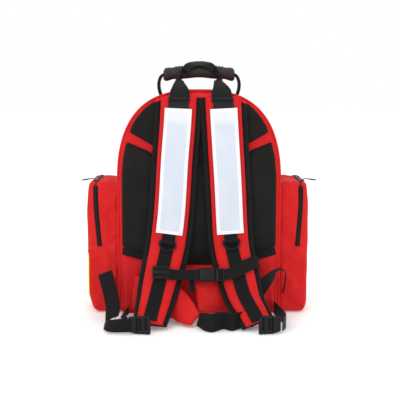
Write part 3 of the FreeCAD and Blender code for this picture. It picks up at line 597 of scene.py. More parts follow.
def tube(name, loop, radius, mat, sides, **more):
    """A round tube along a closed loop of places."""
    along = unit(np.roll(loop, -1, 0) - np.roll(loop, 1, 0))
    wide = unit(np.cross(along, (0.13, 0.2, 0.97)))
    out = np.cross(along, wide)
    turn = np.linspace(0, 2 * np.pi, sides, endpoint=False)
    spokes = np.cos(turn)[None, :, None] * wide[:, None, :] + np.sin(turn)[None, :, None] * out[:, None, :]
    verts = (loop[:, None, :] + spokes * radius).reshape(-1, 3)
    rows = len(loop)
    around = np.tile(turn * 3, (rows, 1))
    run = np.tile(lengths(loop)[:, None], (1, sides))
    strip = np.stack([around, run, np.full((rows, sides), 5.0)], -1).reshape(-1, 3)
    last = (rows - 1) * sides
    faces = grid_faces(rows, sides)
    faces += [[last + j, last + (j + 1) % sides, (j + 1) % sides, j] for j in range(sides)]
    return clean(piece(name, verts, faces, mat, strip=strip, **more))


def stitches(name, places, along, out, mat, pitch=3.4, body=None):
    """A row of thread stitches laid on a surface along a run of places."""
    length, thick = 2.3, 0.32
    run = lengths(arr(places))
    spots = np.arange(pitch / 2, run[-1], pitch)
    verts, faces = [], []
    for p, a, o in zip(
        between(spots, run, places), unit(between(spots, run, unit(along))),
        unit(between(spots, run, unit(out))),
    ):
        w = np.cross(a, o)
        first = len(verts)
        for t, r in ((-0.5, 0.25), (-0.32, 0.9), (0, 1), (0.32, 0.9), (0.5, 0.25)):
            lift = thick * (0.55 - 1.4 * abs(t))
            for q in range(6):
                c, d = math.cos(q * math.pi / 3), math.sin(q * math.pi / 3)
                verts.append(p + a * length * t + (w * c + o * d) * thick * r + o * lift)
        faces += grid_faces(5, 6, offset=first)
        faces += [[first + q for q in cap] for cap in end_caps(5, 6)]
    return piece(name, verts, faces, mat, body=body)


# ---------------------------------------------------------------- cloth

SETTLE_FRAMES = 20


def coordinates(mesh):
    found = np.zeros(len(mesh.vertices) * 3)
    mesh.vertices.foreach_get("co", found)
    return found.reshape(-1, 3)


def puff(obj, hold, pressure, cap, voxel=0.0, loose=0.0, stiff=15.0):
    """Swells a piece as stuffed cloth. `hold` says which points, in millimetres, stay where they
    are; no point moves more than `cap` millimetres; `loose` is the share of spare cloth. With a
    voxel size the piece is first remeshed evenly, and smoothed once at the end."""
    if voxel:
        modify(obj, "REMESH", mode="VOXEL", voxel_size=voxel * MM, use_smooth_shade=True)
    start = coordinates(obj.data)
    group = obj.vertex_groups.new(name="held")
    group.add([i for i, p in enumerate(start / MM) if hold(*p)], 1.0, "REPLACE")
    cloth = obj.modifiers.new("cloth", "CLOTH")
    for key, value in {
        "use_pressure": True, "uniform_pressure_force": pressure, "quality": 4, "mass": 0.3,
        "tension_stiffness": stiff, "compression_stiffness": stiff, "shear_stiffness": 5,
        "bending_stiffness": 0.3, "shrink_min": -loose, "vertex_group_mass": "held",
    }.items():
        setattr(cloth.settings, key, value)
    cloth.settings.effector_weights.gravity = 0
    cloth.collision_settings.use_collision = False
    cloth.collision_settings.use_self_collision = False
    for number in range(1, SETTLE_FRAMES + 1):
        bpy.context.scene.frame_set(number)
    swollen = obj.evaluated_get(bpy.context.evaluated_depsgraph_get())
    move = coordinates(swollen.to_mesh()) - start
    swollen.to_mesh_clear()
    far = np.linalg.norm(move, axis=1, keepdims=True)
    move *= np.minimum(1, cap * MM / np.maximum(far, 1e-9))
    obj.modifiers.clear()
    obj.vertex_groups.clear()
    bpy.context.scene.frame_set(1)
    obj.data.vertices.foreach_set("co", (start + move).ravel())
    obj.data.update()
    if voxel:
        modify(obj, "SUBSURF", levels=1, render_levels=1)
    smooth(obj.data)


# ---------------------------------------------------------------- main compartment

HALF, LOW, TALL = 153.0, 4.0, 424.0
DOME_FROM, DOME_POWER, CORNER_R = 240.0, 2.7, 16.0
SAG_REACH = 46


def dome():
    """The pack's outline from the bottom's middle, counter-clockwise seen from the rear, as
    (x, z) with outward directions."""
    pts = [(x, LOW) for x in np.linspace(0, HALF - CORNER_R, 12)[:-1]]
    for a in np.linspace(-math.pi / 2, 0, 7)[:-1]:
        pts.append((HALF - CORNER_R + CORNER_R * math.cos(a), LOW + CORNER_R + CORNER_R * math.sin(a)))
    pts += [(HALF, z) for z in np.linspace(LOW + CORNER_R, DOME_FROM, 28)[:-1]]
    for a in np.linspace(0, 1, 40) ** 1.15 * math.pi / 2:
        x = HALF * max(math.cos(a), 0) ** (2 / DOME_POWER)
        pts.append((x, DOME_FROM + (LOW + TALL - DOME_FROM) * math.sin(a) ** (2 / DOME_POWER)))
    pts[-1] = (0.0, LOW + TALL)
    step = unit(np.gradient(arr(pts), axis=0))
    out = np.stack([step[:, 1], -step[:, 0]], 1)
    out[0], out[-1] = (0, -1), (0, 1)
    right = arr(pts)
    left, left_out = right[-2:0:-1] * [-1, 1], out[-2:0:-1] * [-1, 1]
    return np.vstack([right, left]), np.vstack([out, left_out])


def roof(x):
    """The height of the outline's top at x."""
    share = min(abs(x) / HALF, 0.99)
    return DOME_FROM + (LOW + TALL - DOME_FROM) * (1 - share**DOME_POWER) ** (1 / DOME_POWER)


def sag(points, size, seed):
    """Soft unevenness of sewn cloth, in millimetres."""
    return arr([
        size * noise.fractal(Vector((x / SAG_REACH + seed, y / SAG_REACH, z / SAG_REACH)), 0.9, 2.0, 2)
        for x, y, z in points
    ])


class Outline:
    """A closed outline in x and z with its outward directions, and shells made of its copies."""

    def __init__(self, points, out):
        self.points, self.out = points, out
        self.flat_out = np.stack([out[:, 0], np.zeros(len(out)), out[:, 1]], 1)

    def rings(self, *rows):
        """The outline at each depth, moved outward."""
        found = []
        for y, offset in rows:
            p = self.points + self.out * offset
            found.append(np.stack([p[:, 0], np.full(len(p), float(y)), p[:, 1]], 1))
        return found

    def drawn_in(self, middle, offset, share, depth):
        """The outline drawn toward a middle; `depth` gives y for x and z."""
        p = middle + (self.points + self.out * offset - middle) * share
        return np.stack([p[:, 0], arr([depth(x, z) for x, z in p]), p[:, 1]], 1)

    def shell(self, name, rings, mats, soft=0.0, seed=0.0, centre_y=0.0, **more):
        """Skins a run of outlines; each row's points move a little, as cloth does."""
        pts = np.vstack(rings)
        rows = len(rings)
        pts = pts + np.tile(self.flat_out, (rows, 1)) * sag(pts, soft, seed)[:, None]
        run = np.tile(lengths(self.points), rows)
        strip = np.stack([pts[:, 1] - centre_y, run, np.full(len(pts), 5.0)], 1)
        faces = grid_faces(rows, len(self.points))
        return clean(piece(name, pts, faces, mats, strip=strip, **more))


BAG = Outline(*dome())
COUNT = len(BAG.points)
DISC_MIDDLE, DISC_RINGS = arr([0, 215]), 8


def disc(y, offset, crown=0.0):
    """Rings that close the bag's outline to its middle, with a soft crown."""
    found = []
    for k in range(1, DISC_RINGS + 1):
        f = 1 - k / DISC_RINGS
        depth = y + crown * (1 - f**2.2)
        found.append(BAG.drawn_in(DISC_MIDDLE, offset, f, lambda x, z: depth))
    return found


rear_rings = BAG.rings(
    (70, -2.5), (70.1, -0.4), (69.4, 0), (60, 0.5), (45, 0.9), (28, 1.1), (10, 1.1), (-10, 0.9), (-30, 0.6),
    (-44, 0.2), (-49, -0.2), (-52.5, -0.6), (-54.6, -2.2), (-55, -5), (-55, -12),
)
BAG.shell(
    "back_shell", rear_rings + disc(-55, -12), "red", soft=0.9, body="pack", slot="red_fabric",
    cad=("back_panel", "gusset"),
)
inner = BAG.rings((69.8, -2.6), (40, -2.7), (0, -2.7), (-40, -2.7), (-50, -3.2), (-50.6, -8))
BAG.shell("main_lining", inner, "lining", body="pack", slot="lining")

# the piping round the rear face, and the seam lines beside it
tube(
    "rear_piping_roll", BAG.rings((-52.6, 0.6))[0], 2.3, "red", sides=10, body="pack", slot="red_fabric",
    cad=("rear_piping",),
)


def rim_row(name, y, offset, out_y=0.0, body="pack", z_low=-math.inf):
    """Stitches along the bag's outline, above a height."""
    p = BAG.rings((y, offset))[0]
    along = unit(np.roll(p, -1, 0) - np.roll(p, 1, 0))
    out = BAG.flat_out * (1 - abs(out_y)) + arr([0, out_y, 0])
    keep = p[:, 2] > z_low
    pick = slice(int(np.argmax(keep)), COUNT - int(np.argmax(keep[::-1])))
    return stitches(name, p[pick], along[pick], out[pick], "thread", pitch=4.0, body=body)


rim_row("rear_stitch", -55.05, -6.0, out_y=-1.0)
rim_row("gusset_stitch_rear", -45.0, 0.35)
rim_row("gusset_stitch_front", 64.0, 0.55)

zip_rings = BAG.rings(
    (70.0, -2.5), (70.0, -0.2), (70.3, 0.25), (70.8, 0.3), (71.0, 1.1), (71.5, 1.4), (72.0, 1.1),
    (72.2, 0.3), (72.7, 0.25), (73.0, -0.2), (73.0, -2.5),
)
BAG.shell("main_zip", zip_rings, "zip", centre_y=71.5, body="pack", slot="zip_tape", cad=("main_zip_tape",))

# ---------------------------------------------------------------- flap and sill

SILL, SILL_GAP = 60.2, 0.2
LINING_INSET = 3.4
TAPE_START, TAPE_THICK = 60, 0.8


def tray_half(name, rings, above, mats, body, slot, cad=(), soft=0.8, thick=2.4):
    """One side of a shell over the bag's front, cut along the sill's top and made `thick`."""
    skin = BAG.shell(name, rings, mats, soft, seed=3.0)
    bm = bmesh.new()
    bm.from_mesh(skin.data)
    bmesh.ops.remove_doubles(bm, verts=bm.verts, dist=0.00005)
    cut_z = (SILL + (SILL_GAP if above else -SILL_GAP)) * MM
    bmesh.ops.bisect_plane(
        bm, geom=bm.verts[:] + bm.edges[:] + bm.faces[:], plane_co=(0, 0, cut_z), plane_no=(0, 0, 1),
        clear_inner=above, clear_outer=not above,
    )
    bmesh.ops.recalc_face_normals(bm, faces=bm.faces)
    bm.to_mesh(skin.data)
    bm.free()
    # the front face must look forward, so that the thickness grows inward
    if sum(p.normal.y * p.area for p in skin.data.polygons if p.center.y > 0.115) < 0:
        skin.data.flip_normals()
    modify(skin, "SOLIDIFY", thickness=thick * MM, offset=-1, use_even_offset=False)
    skin.data.set_sharp_from_angle(angle=math.radians(50))
    return dress(skin, body, slot, *cad)


tray_rings = BAG.rings(
    (73.6, -2.5), (73.5, -0.2), (74.2, 0.2), (82, 0.6), (92, 1.0), (102, 0.8), (109, 0.1), (113.5, -1.4),
    (116.2, -4), (117.3, -8), (117.5, -14),
) + disc(117.5, -14, 0.8)
lining_rows = ((74.6, 0.2), (90, 0.8), (102, 0.6), (109, 0), (112, -3), (113.6, -8))
lining_rings = BAG.rings(*((y, offset - LINING_INSET) for y, offset in lining_rows))
lining_rings += disc(113.9, -14 - LINING_INSET, 0.3)
tray_half("flap_skin", tray_rings, True, "red", "flap", "red_fabric", ("flap_shell",))
tray_half("sill_skin", tray_rings, False, "red", "pack", "red_fabric", ("front_sill",))
tray_half("flap_lining", lining_rings, True, "lining", "flap", "lining", soft=0.0, thick=0.6)
rim_row("flap_stitch", 79.0, 0.75, body="flap", z_low=66)
rim_row("flap_face_stitch", 117.7, -12.0, out_y=1.0, body="flap", z_low=66)


def slab_faces(rows, columns):
    """The faces of two grids, one over the other, joined round their rim."""
    top = rows * columns
    faces = grid_faces(rows, columns, closed=False)
    faces += grid_faces(rows, columns, closed=False, offset=top, flip=True)
    rim = list(range(columns)) + [columns * k + columns - 1 for k in range(1, rows)]
    rim += [columns * (rows - 1) + i for i in range(columns - 2, -1, -1)]
    rim += [columns * k for k in range(rows - 2, 0, -1)]
    return faces + [[a, b, b + top, a + top] for a, b in zip(rim, rim[1:] + rim[:1])]


def tape_strip(u, u0, u1, v, v0, v1):
    """Strip values on a flat tape that is u1 - u0 wide and runs along v."""
    return (u - (u0 + u1) / 2, v - v0 + TAPE_START, min(u - u0, u1 - u, v - v0, v1 - v))


def face_band(name, x0, x1, z0, z1, y_at, mats, body, slot, cad, nx=40, nz=10):
    """A flat tape on a face that looks along +Y; `y_at` gives the surface under it."""
    verts, strip = [], []
    for lift in (0, TAPE_THICK):
        for z in np.linspace(z0, z1, nz):
            for x in np.linspace(x0, x1, nx):
                verts.append((x, y_at(x, z) + lift, z))
                strip.append(tape_strip(z, z0, z1, x, x0, x1))
    faces = slab_faces(nz, nx)
    return clean(piece(name, verts, faces, mats, strip=strip, body=body, slot=slot, cad=(cad,)))


face_band(
    "flap_band", -120, 120, 290, 340, lambda x, z: 118.3, "hi_vis", "flap", "hi_vis_tape", "flap_tape"
)

# ---------------------------------------------------------------- front pocket

FX, FZ0, FZ1 = 115.0, 62.0, 256.0


def round_rect(x0, x1, z0, z1, radius):
    """A rounded rectangle as points and outward directions."""
    pts, out = [], []
    lo_x, hi_x, lo_z, hi_z = x0 + radius, x1 - radius, z0 + radius, z1 - radius
    corners = [(hi_x, lo_z, -90), (hi_x, hi_z, 0), (lo_x, hi_z, 90), (lo_x, lo_z, 180)]
    for k, (cx, cz, turn) in enumerate(corners):
        for a in np.radians(np.linspace(turn, turn + 90, 8)):
            out.append((math.cos(a), math.sin(a)))
            pts.append((cx + radius * out[-1][0], cz + radius * out[-1][1]))
        # the straight side to the next corner
        start, way = pts[-1], out[-1]
        next_x, next_z, _ = corners[(k + 1) % 4]
        end = (next_x + radius * way[0], next_z + radius * way[1])
        for f in np.linspace(0, 1, 14)[1:-1]:
            pts.append((start[0] + (end[0] - start[0]) * f, start[1] + (end[1] - start[1]) * f))
            out.append(way)
    return arr(pts), arr(out)


FRONT = Outline(*round_rect(-FX, FX, FZ0, FZ1, 14.0))
FRONT.shell(
    "front_pocket_walls",
    FRONT.rings(
        (117.6, 0.6), (124, 1.4), (134, 2.2), (146, 2.0), (155, 1.0), (160.5, 0.0), (161.3, -0.6),
        (161.3, -2.5), (140, -2.5), (120.2, -2.5), (119.9, -8),
    ),
    "red", soft=0.9, body="flap", slot="red_fabric", cad=("front_pocket",),
)
FRONT.shell(
    "front_zip_band",
    FRONT.rings(
        (161.4, -3), (161.4, -0.2), (161.8, 0.2), (162.3, 0.3), (162.5, 1.1), (162.9, 1.4), (163.4, 1.1),
        (163.6, 0.3), (164.2, 0.2), (164.4, -0.3), (164.4, -7), (161.4, -7),
    ),
    "zip", centre_y=162.9, body="flap", slot="zip_tape", cad=("front_zip",),
)
LID_MIDDLE = arr([0, (FZ0 + FZ1) / 2])


def lid_y(x, z):
    """The front lid's outer face, crowned between its edges."""
    u, v = x / FX, (z - LID_MIDDLE[1]) / ((FZ1 - FZ0) / 2)
    return 168.6 + 3.4 * max(0, 1 - u**4) * max(0, 1 - v**4)


lid_rings = FRONT.rings((164.9, -6), (164.8, -1.0), (165.4, 0), (167, 0.2), (168.3, -0.6))
lid_rings += [FRONT.drawn_in(LID_MIDDLE, -3, 1 - k / 10, lid_y) for k in range(11)]
FRONT.shell(
    "front_lid_skin", lid_rings, "red", soft=0.5, body="front_lid", slot="red_fabric",
    cad=("front_pocket_lid",),
)
lining_rings = FRONT.rings((164.75, -5.8))
lining_rings += [FRONT.drawn_in(LID_MIDDLE, -6, f, lambda x, z: 165.2) for f in (0.9, 0.5, 0.0)]
FRONT.shell("front_lid_lining", lining_rings, "lining", body="front_lid", slot="lining")
face_band(
    "lid_band", -111, 111, 120, 170, lambda x, z: lid_y(x, z) + 0.25, "tape", "front_lid",
    "reflective_tape", "lid_tape", nx=60, nz=14,
)
for z, word in ((112, "low"), (178, "high")):
    seam = [(x, lid_y(x, z) + 0.15, z) for x in np.linspace(-108, 108, 60)]
    stitches(
        "lid_stitch_" + word, seam, np.tile([1, 0, 0], (60, 1)), np.tile([0, 1, 0], (60, 1)), "thread",
        body="front_lid",
    )
# ---------------------------------------------------------------- base and dividers

base = block("base_board", (-140, -46, 0.2), (140, 65, 4.2), 1.6, "base")
dress(base, "pack", "base_cloth", "base_pad")
shelves = []
for z in (145, 275):
    shelf = block("shelf", (-147, -47, z + 0.5), (147, 62, z + 7.5), 3.2, "lining", segments=4)
    modify(shelf, "SUBSURF", levels=1, render_levels=1)
    shelves.append(shelf)
join("divider_shelves", shelves, "pack", "lining", ("dividers",))
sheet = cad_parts["frame_sheet"]
sheet.data.materials.clear()
sheet.data.materials.append(MAT["sheet"])

# ---------------------------------------------------------------- mesh pads and lower back


def polygon_round(points, radius, sides=5):
    """A polygon with its corners rounded, evenly sampled."""
    p = arr(points)
    n = len(p)
    found = []
    for k in range(n):
        a, b, c = p[k - 1], p[k], p[(k + 1) % n]
        ua, uc = unit(a - b), unit(c - b)
        reach = min(radius, 0.45 * min(np.linalg.norm(a - b), np.linalg.norm(c - b)))
        s, e = b + ua * reach, b + uc * reach
        for t in np.linspace(0, 1, sides):
            found.append((1 - t) ** 2 * s + 2 * t * (1 - t) * b + t**2 * e)
    found = arr(found)
    loop = np.vstack([found, found[:1]])
    run = lengths(loop)
    return between(np.linspace(0, run[-1], int(run[-1] / 4) + 1)[:-1], run, loop)


def inside_distance(points, poly):
    """How far each point is inside a polygon's edge, below 0 outside."""
    points = arr(points)
    points = arr(points)
    best = np.full(len(points), 1e9)
    odd = np.zeros(len(points), bool)
    for a, b in zip(poly, np.roll(poly, -1, 0)):
        ab = b - a
        t = np.clip(((points - a) @ ab) / max(ab @ ab, 1e-9), 0, 1)
        best = np.minimum(best, np.linalg.norm(points - (a + t[:, None] * ab), axis=1))
        cross = (a[1] > points[:, 1]) != (b[1] > points[:, 1])
        at = a[0] + (points[:, 1] - a[1]) / (b[1] - a[1] + 1e-12) * ab[0]
        odd ^= cross & (points[:, 0] < at)
    return np.where(odd, best, -best)


PAD_GRID = 5.0


def cushion(name, poly, height, mat, lift, edge=7.0, channels=()):
    """A pad on the rear panel: a grid over its outline whose height rises from a sewn edge."""
    lo, hi = poly.min(0), poly.max(0)
    bm = bmesh.new()
    loop = [bm.verts.new((x, 0, z)) for x, z in poly]
    for a, b in zip(loop, loop[1:] + loop[:1]):
        bm.edges.new((a, b))
    bmesh.ops.triangle_fill(bm, use_beauty=True, edges=bm.edges[:])
    for axis, start, stop in ((0, lo[0], hi[0]), (2, lo[1], hi[1])):
        for c in np.arange(math.ceil(start / PAD_GRID) * PAD_GRID, stop, PAD_GRID):
            co, no = [0, 0, 0], [0, 0, 0]
            co[axis], no[axis] = c, 1
            geom = bm.verts[:] + bm.edges[:] + bm.faces[:]
            bmesh.ops.bisect_plane(bm, geom=geom, plane_co=co, plane_no=no)
    bmesh.ops.dissolve_limit(bm, angle_limit=0.01, verts=[], edges=[])
    bm.verts.ensure_lookup_table()
    flat = arr([(v.co.x, v.co.z) for v in bm.verts])
    depth = np.maximum(inside_distance(flat, poly), 0)
    rise = np.clip(depth / edge, 0, 1)
    tall = height * np.sqrt(1 - (1 - rise) ** 2) * 0.92 + height * 0.08 * np.clip(depth / 40, 0, 1)
    for distance in channels:
        tall = tall * (1 - 0.62 * np.exp(-(distance(flat) / 2.6) ** 2))
    tall = tall + lift(flat) * rise
    for v, t in zip(bm.verts, tall):
        v.co.y = REAR - float(t)
    bmesh.ops.recalc_face_normals(bm, faces=bm.faces)
    bmesh.ops.scale(bm, vec=(MM, MM, MM), verts=bm.verts)
    mesh = mesh_from(bm, name, [MAT[mat]])
    if sum(p.normal.y for p in mesh.polygons) > 0:
        mesh.flip_normals()
    smooth(mesh)
    return add_object(name, mesh)


def mirror(points):
    """An outline's points, then their mirror images back again."""
    return list(points) + [(-x, z) for x, z in reversed(points)]


UPPER = polygon_round(
    mirror([
        (26, 293.0), (70, 317), (130.5, 352), (126, 364), (116, 380), (104, 394), (90, 406), (70, 413.4),
    ]),
    3.5,
)
LOWER = polygon_round(
    mirror([
        (58, 113), (106, 122), (130, 128), (146.5, 134), (146, 270), (143, 305), (136, 334), (100, 319),
        (62, 295), (40, 282), (26, 296.6),
    ]),
    3.5,
)


def to_line(a, b):
    """Gives a function for the distance of flat points from the segment a-b."""
    a, b = arr(a), arr(b)

    def distance(flat):
        ab = b - a
        t = np.clip(((flat - a) @ ab) / (ab @ ab), 0, 1)
        return np.linalg.norm(flat - (a + t[:, None] * ab), axis=1)

    return distance


def swell(flat):
    """Slight unevenness of the mesh pads."""
    return arr([0.35 * noise.noise(Vector((x / 55, z / 55, 2.0))) for x, z in flat])


upper = cushion(
    "upper_mesh_pad", UPPER, 7.2, "mesh", swell,
    channels=[to_line((88, 372), (128, 374)), to_line((-88, 372), (-128, 374))],
)
lower = cushion("lower_mesh_pad", LOWER, 7.4, "mesh", swell, edge=8)
for pad, node in ((upper, "mesh_pad_upper"), (lower, "mesh_pad_lower")):
    dress(pad, "pack", "spacer_mesh", node)


def smile_z(x, drop):
    """A height under the lower pad's curved bottom edge."""
    return float(np.interp(abs(x), [58, 106, 130, 147], [113, 122, 128, 134])) - drop


def smoothed(values, width):
    """The moving average of a run of values."""
    return np.convolve(np.pad(values, width // 2, mode="edge"), np.ones(width) / width, "valid")


# the band under the lower pad: two rolled ridges of webbing
band_x = np.linspace(-146.5, 146.5, 90)
band_z = smoothed([smile_z(x, 7.6) for x in band_x], 7)
band_path = path_through(np.stack([band_x, np.full(90, REAR - 0.5), band_z], 1))
band_section = [
    (-1, 0, -0.2), (-1, 0.2, 3.4), (-1, 1.6, 5.6), (-0.5, 0, 6.6), (-0.2, 0, 6.0), (-0.04, 0, 4.6),
    (0.04, 0, 4.6), (0.2, 0, 6.0), (0.5, 0, 6.4), (1, -1.6, 5.4), (1, -0.2, 3.2), (1, 0, -0.2),
]
sweep(
    "lumbar_binding", band_path, (0, 0, -1), 7.4, band_section, "binding", body="pack",
    slot="black_binding", cad=("pad_binding",),
)
COVER = polygon_round(
    [(x, smile_z(x, 15.6)) for x in np.linspace(145, -145, 25)] + [(-145, 12), (145, 12)], 5
)


def drape(flat):
    """Soft folds in the lower cover, with one toward each bottom corner."""
    found = []
    for x, z in flat:
        f = 0.9 * noise.noise(Vector((x / 26 + z / 60, z / 55, 5.0)))
        f += 0.7 * math.exp(-(((x + 118 + (z - 90) * 0.5) / 9) ** 2))
        f += 0.6 * math.exp(-(((x - 120 - (z - 90) * 0.4) / 8) ** 2))
        found.append(f)
    return arr(found)


def cover_held(x, y, z):
    """The lower cover is sewn down along its outline."""
    return inside_distance([(x, z)], COVER)[0] < 5 or y > REAR - 1.5


cover = cushion("lower_cover", COVER, 5.2, "red_low", drape, edge=6)
puff(cover, cover_held, pressure=1.2, cap=3.5, loose=0.03)
dress(cover, "pack", "red_fabric", "lower_back_cover")

# ---------------------------------------------------------------- side pockets

POCKET_Y0, POCKET_Y1, POCKET_Z0, POCKET_Z1, LID_Z = REAR + 10, REAR + 122, 1.8, 257.0, 128.2
POCKET_OUT = 57.0
POCKET_FULL = {-1: 1.09, 1: 1.0}


def seam_at(z):
    """How far out the pocket's zip seam runs at a height."""
    return 44.6 - 8.0 * max(0.0, min(1.0, (257 - z) / 126))


def pocket_place(side, a, y, z):
    """Box coordinates to the soft pocket: rounded corners, a full body and a few creases."""
    lo, hi = arr([-40, POCKET_Y0, POCKET_Z0]), arr([POCKET_OUT, POCKET_Y1, POCKET_Z1])
    p = arr([a, y, z])
    r = 8.0
    q = np.clip(p, lo + r, hi - r)
    d = p - q
    length = np.linalg.norm(d)
    if length > r:
        p = q + d / length * r
    a2, y2, z2 = p
    # the outer side leans in over the top and is cut back at the bottom corner
    a2 *= 1 + (POCKET_FULL[side] - 1) * max(0.0, a2 / POCKET_OUT)
    top = max(0.0, (z2 - 201) / 56)
    cut_reach, cut_in = (40, 11.5) if side < 0 else (20, 6.0)
    low = max(0.0, (cut_reach - (z2 - POCKET_Z0)) / cut_reach)
    a2 *= 1 - 0.08 * top**2.2 - cut_in / POCKET_OUT * low**1.6
    # fullness
    v = (z2 - POCKET_Z0) / (POCKET_Z1 - POCKET_Z0)
    u = (y2 - (POCKET_Y0 + POCKET_Y1) / 2) / 56
    full = math.sin(math.pi * min(max(v, 0), 1)) ** 0.5
    if a2 > 0:
        a2 += 2.2 * full * (1 - u * u) * (a2 / POCKET_OUT)
        bulge = math.sin(math.pi * min(max(a2 / 60, 0), 1)) * min(1, abs(u) * 1.1)
        y2 += 2.6 * full * bulge * (1 if u > 0 else -1)
    # creases on the rear face
    rear = max(0.0, -u) ** 3
    fold = 1.5 * noise.noise(Vector((a2 / 17 + side * 3, z2 / 48, 1.5)))
    hollow = math.exp(-(((z2 - 104) / 26) ** 2)) * math.exp(-(((a2 - 22) / 18) ** 2))
    fold += 1.5 * math.sin((z2 - 1.2 * a2) / 9.0) * hollow
    fold += 1.1 * math.sin(a2 / 5.5 + z2 / 90) * math.exp(-(((a2 - 18) / 14) ** 2))
    y2 -= rear * fold
    wave = 1.2 * noise.noise(Vector((y2 / 34, z2 / 42, side * 4.0)))
    if a2 > 20:
        a2 += wave * (a2 - 20) / 35 - 0.6
    if z2 > 240:
        z2 += 1.0 * noise.noise(Vector((a2 / 20, y2 / 30, 9.0 + side)))
    return (side * (HALF + a2), y2, z2)


def pocket_grid(side):
    """The pocket's skin: its points, and its faces sorted into core and lid. A point's key is 0
    at the bag, 1 at the zip's seam and 2 on the outer face."""
    keys = [*np.linspace(0, 1, 10), 1.2, 1.45, 1.7, 1.85, 2.0]
    ys = np.linspace(POCKET_Y0, POCKET_Y1, 24)
    zs = sorted({*np.linspace(POCKET_Z0, LID_Z, 22), *np.linspace(LID_Z, POCKET_Z1, 24)})
    y_steps, z_steps = list(zip(ys, ys[1:])), list(zip(zs, zs[1:]))
    rear, front, foot, top = ys[0], ys[-1], zs[0], zs[-1]
    verts, index = [], {}
    faces = {"core": [], "lid": []}

    def vert(key, y, z):
        tag = (round(key, 4), round(y, 3), round(z, 3))
        if tag not in index:
            seam = seam_at(z)
            a = seam * key if key <= 1 else seam + (POCKET_OUT - seam) * (key - 1)
            index[tag] = len(verts)
            verts.append(pocket_place(side, a, y, z))
        return index[tag]

    def add(in_lid, *corners):
        quad = [vert(*corner) for corner in corners]
        faces["lid" if in_lid else "core"].append(quad if side > 0 else quad[::-1])

    for k0, k1 in zip(keys, keys[1:]):
        for z0, z1 in z_steps:
            in_lid = k0 >= 1 and z0 >= LID_Z - 0.01
            add(in_lid, (k0, rear, z0), (k1, rear, z0), (k1, rear, z1), (k0, rear, z1))
            add(in_lid, (k0, front, z1), (k1, front, z1), (k1, front, z0), (k0, front, z0))
        for y0, y1 in y_steps:
            add(k0 >= 1, (k0, y0, top), (k1, y0, top), (k1, y1, top), (k0, y1, top))
            add(False, (k0, y1, foot), (k1, y1, foot), (k1, y0, foot), (k0, y0, foot))
    for y0, y1 in y_steps:
        for z0, z1 in z_steps:
            add(z0 >= LID_Z - 0.01, (2.0, y0, z0), (2.0, y1, z0), (2.0, y1, z1), (2.0, y0, z1))
    return arr(verts), faces


ZIP_SECTION = [
    (-1, 0, -0.6), (-1, 0, 0.5), (-1, 0.5, 0.9), (-0.45, 0, 0.8), (-0.32, 0, 1.5), (-0.12, 0, 1.9),
    (0.12, 0, 1.9), (0.32, 0, 1.5), (0.45, 0, 0.8), (1, -0.5, 0.9), (1, 0, 0.5), (1, 0, -0.6),
]
zips = []
for side, word in ((-1, "left"), (1, "right")):
    verts, faces = pocket_grid(side)

    def sewn(x, y, z):
        """Near the seams, the pack, the floor and the outer face the cloth is held."""
        a = abs(x) - HALF
        seam = abs(pocket_place(side, seam_at(z), POCKET_Y0 + 20, z)[0]) - HALF
        if a < 7 or z < 7 or abs(z - LID_Z) < 5 and a > seam - 8:
            return True
        return z > LID_Z - 6 and abs(a - seam) < 8 or a > POCKET_OUT * POCKET_FULL[side] - 8

    for group, body, node in (("core", "pack", "side_pocket_"), ("lid", "lid_" + word, "side_lid_")):
        used = sorted({v for f in faces[group] for v in f})
        remap = {v: k for k, v in enumerate(used)}
        quads = [[remap[v] for v in f] for f in faces[group]]
        skin = piece(f"pocket_{group}_{word}", verts[used], quads, "red", sharp=70)
        puff(skin, sewn, pressure=1.6, cap=5.0, loose=0.05, stiff=10)
        # the front face stays nearly flat, so the main zip's pull clears it when it is lifted
        for vertex in skin.data.vertices:
            vertex.co.y -= 0.75 * max(0.0, vertex.co.y - POCKET_Y1 * MM)
        modify(skin, "SOLIDIFY", thickness=0.0018, offset=-1)
        skin.data.set_sharp_from_angle(angle=math.radians(60))
        dress(skin, body, "red_fabric", node + word)
    # the zip runs up the rear face, over the top and down the front face
    climb = np.linspace(131, POCKET_Z1 - 9, 44)
    route = [(seam_at(z), POCKET_Y0, z) for z in climb]
    route += [(seam_at(POCKET_Z1), POCKET_Y0 + 4 * k, POCKET_Z1) for k in range(1, 28)]
    route += [(seam_at(z), POCKET_Y1, z) for z in climb[::-1]]
    skin_at = arr([pocket_place(side, *r) for r in route])
    run = lengths(skin_at)
    even = np.linspace(0, run[-1], 150)
    places = np.stack([smoothed(column, 5) for column in between(even, run, skin_at).T], 1)
    zips.append(sweep("zip", path_through(places, even), (-1, 0, 0), 4.6, ZIP_SECTION, "zip"))
join("pocket_zips", zips, "pack", "zip_tape", ("side_zips",))

tapes = []
for side, first, low, high in ((-1, POCKET_Y0 + 2.5, 30, 118), (1, -14, 18, 120)):
    verts, strip = [], []
    for lift in (0.2, 0.2 + TAPE_THICK):
        for z in np.linspace(low, high, 24):
            for y in np.linspace(first, first + 50, 22):
                x, skin_y, skin_z = pocket_place(side, POCKET_OUT, y, z)
                # on the rounded rear edge the tape is lifted backward too
                back = 0.6 * lift if y < POCKET_Y0 + 6 else 0.0
                verts.append((x + side * lift, skin_y - back, skin_z))
                strip.append(tape_strip(y, first, first + 50, z, low, high))
    tapes.append(clean(piece("tape", verts, slab_faces(24, 22), "hi_vis", strip=strip)))
join("pocket_tapes", tapes, "pack", "hi_vis_tape", ("side_tapes",))

# ---------------------------------------------------------------- zip sliders and pulls


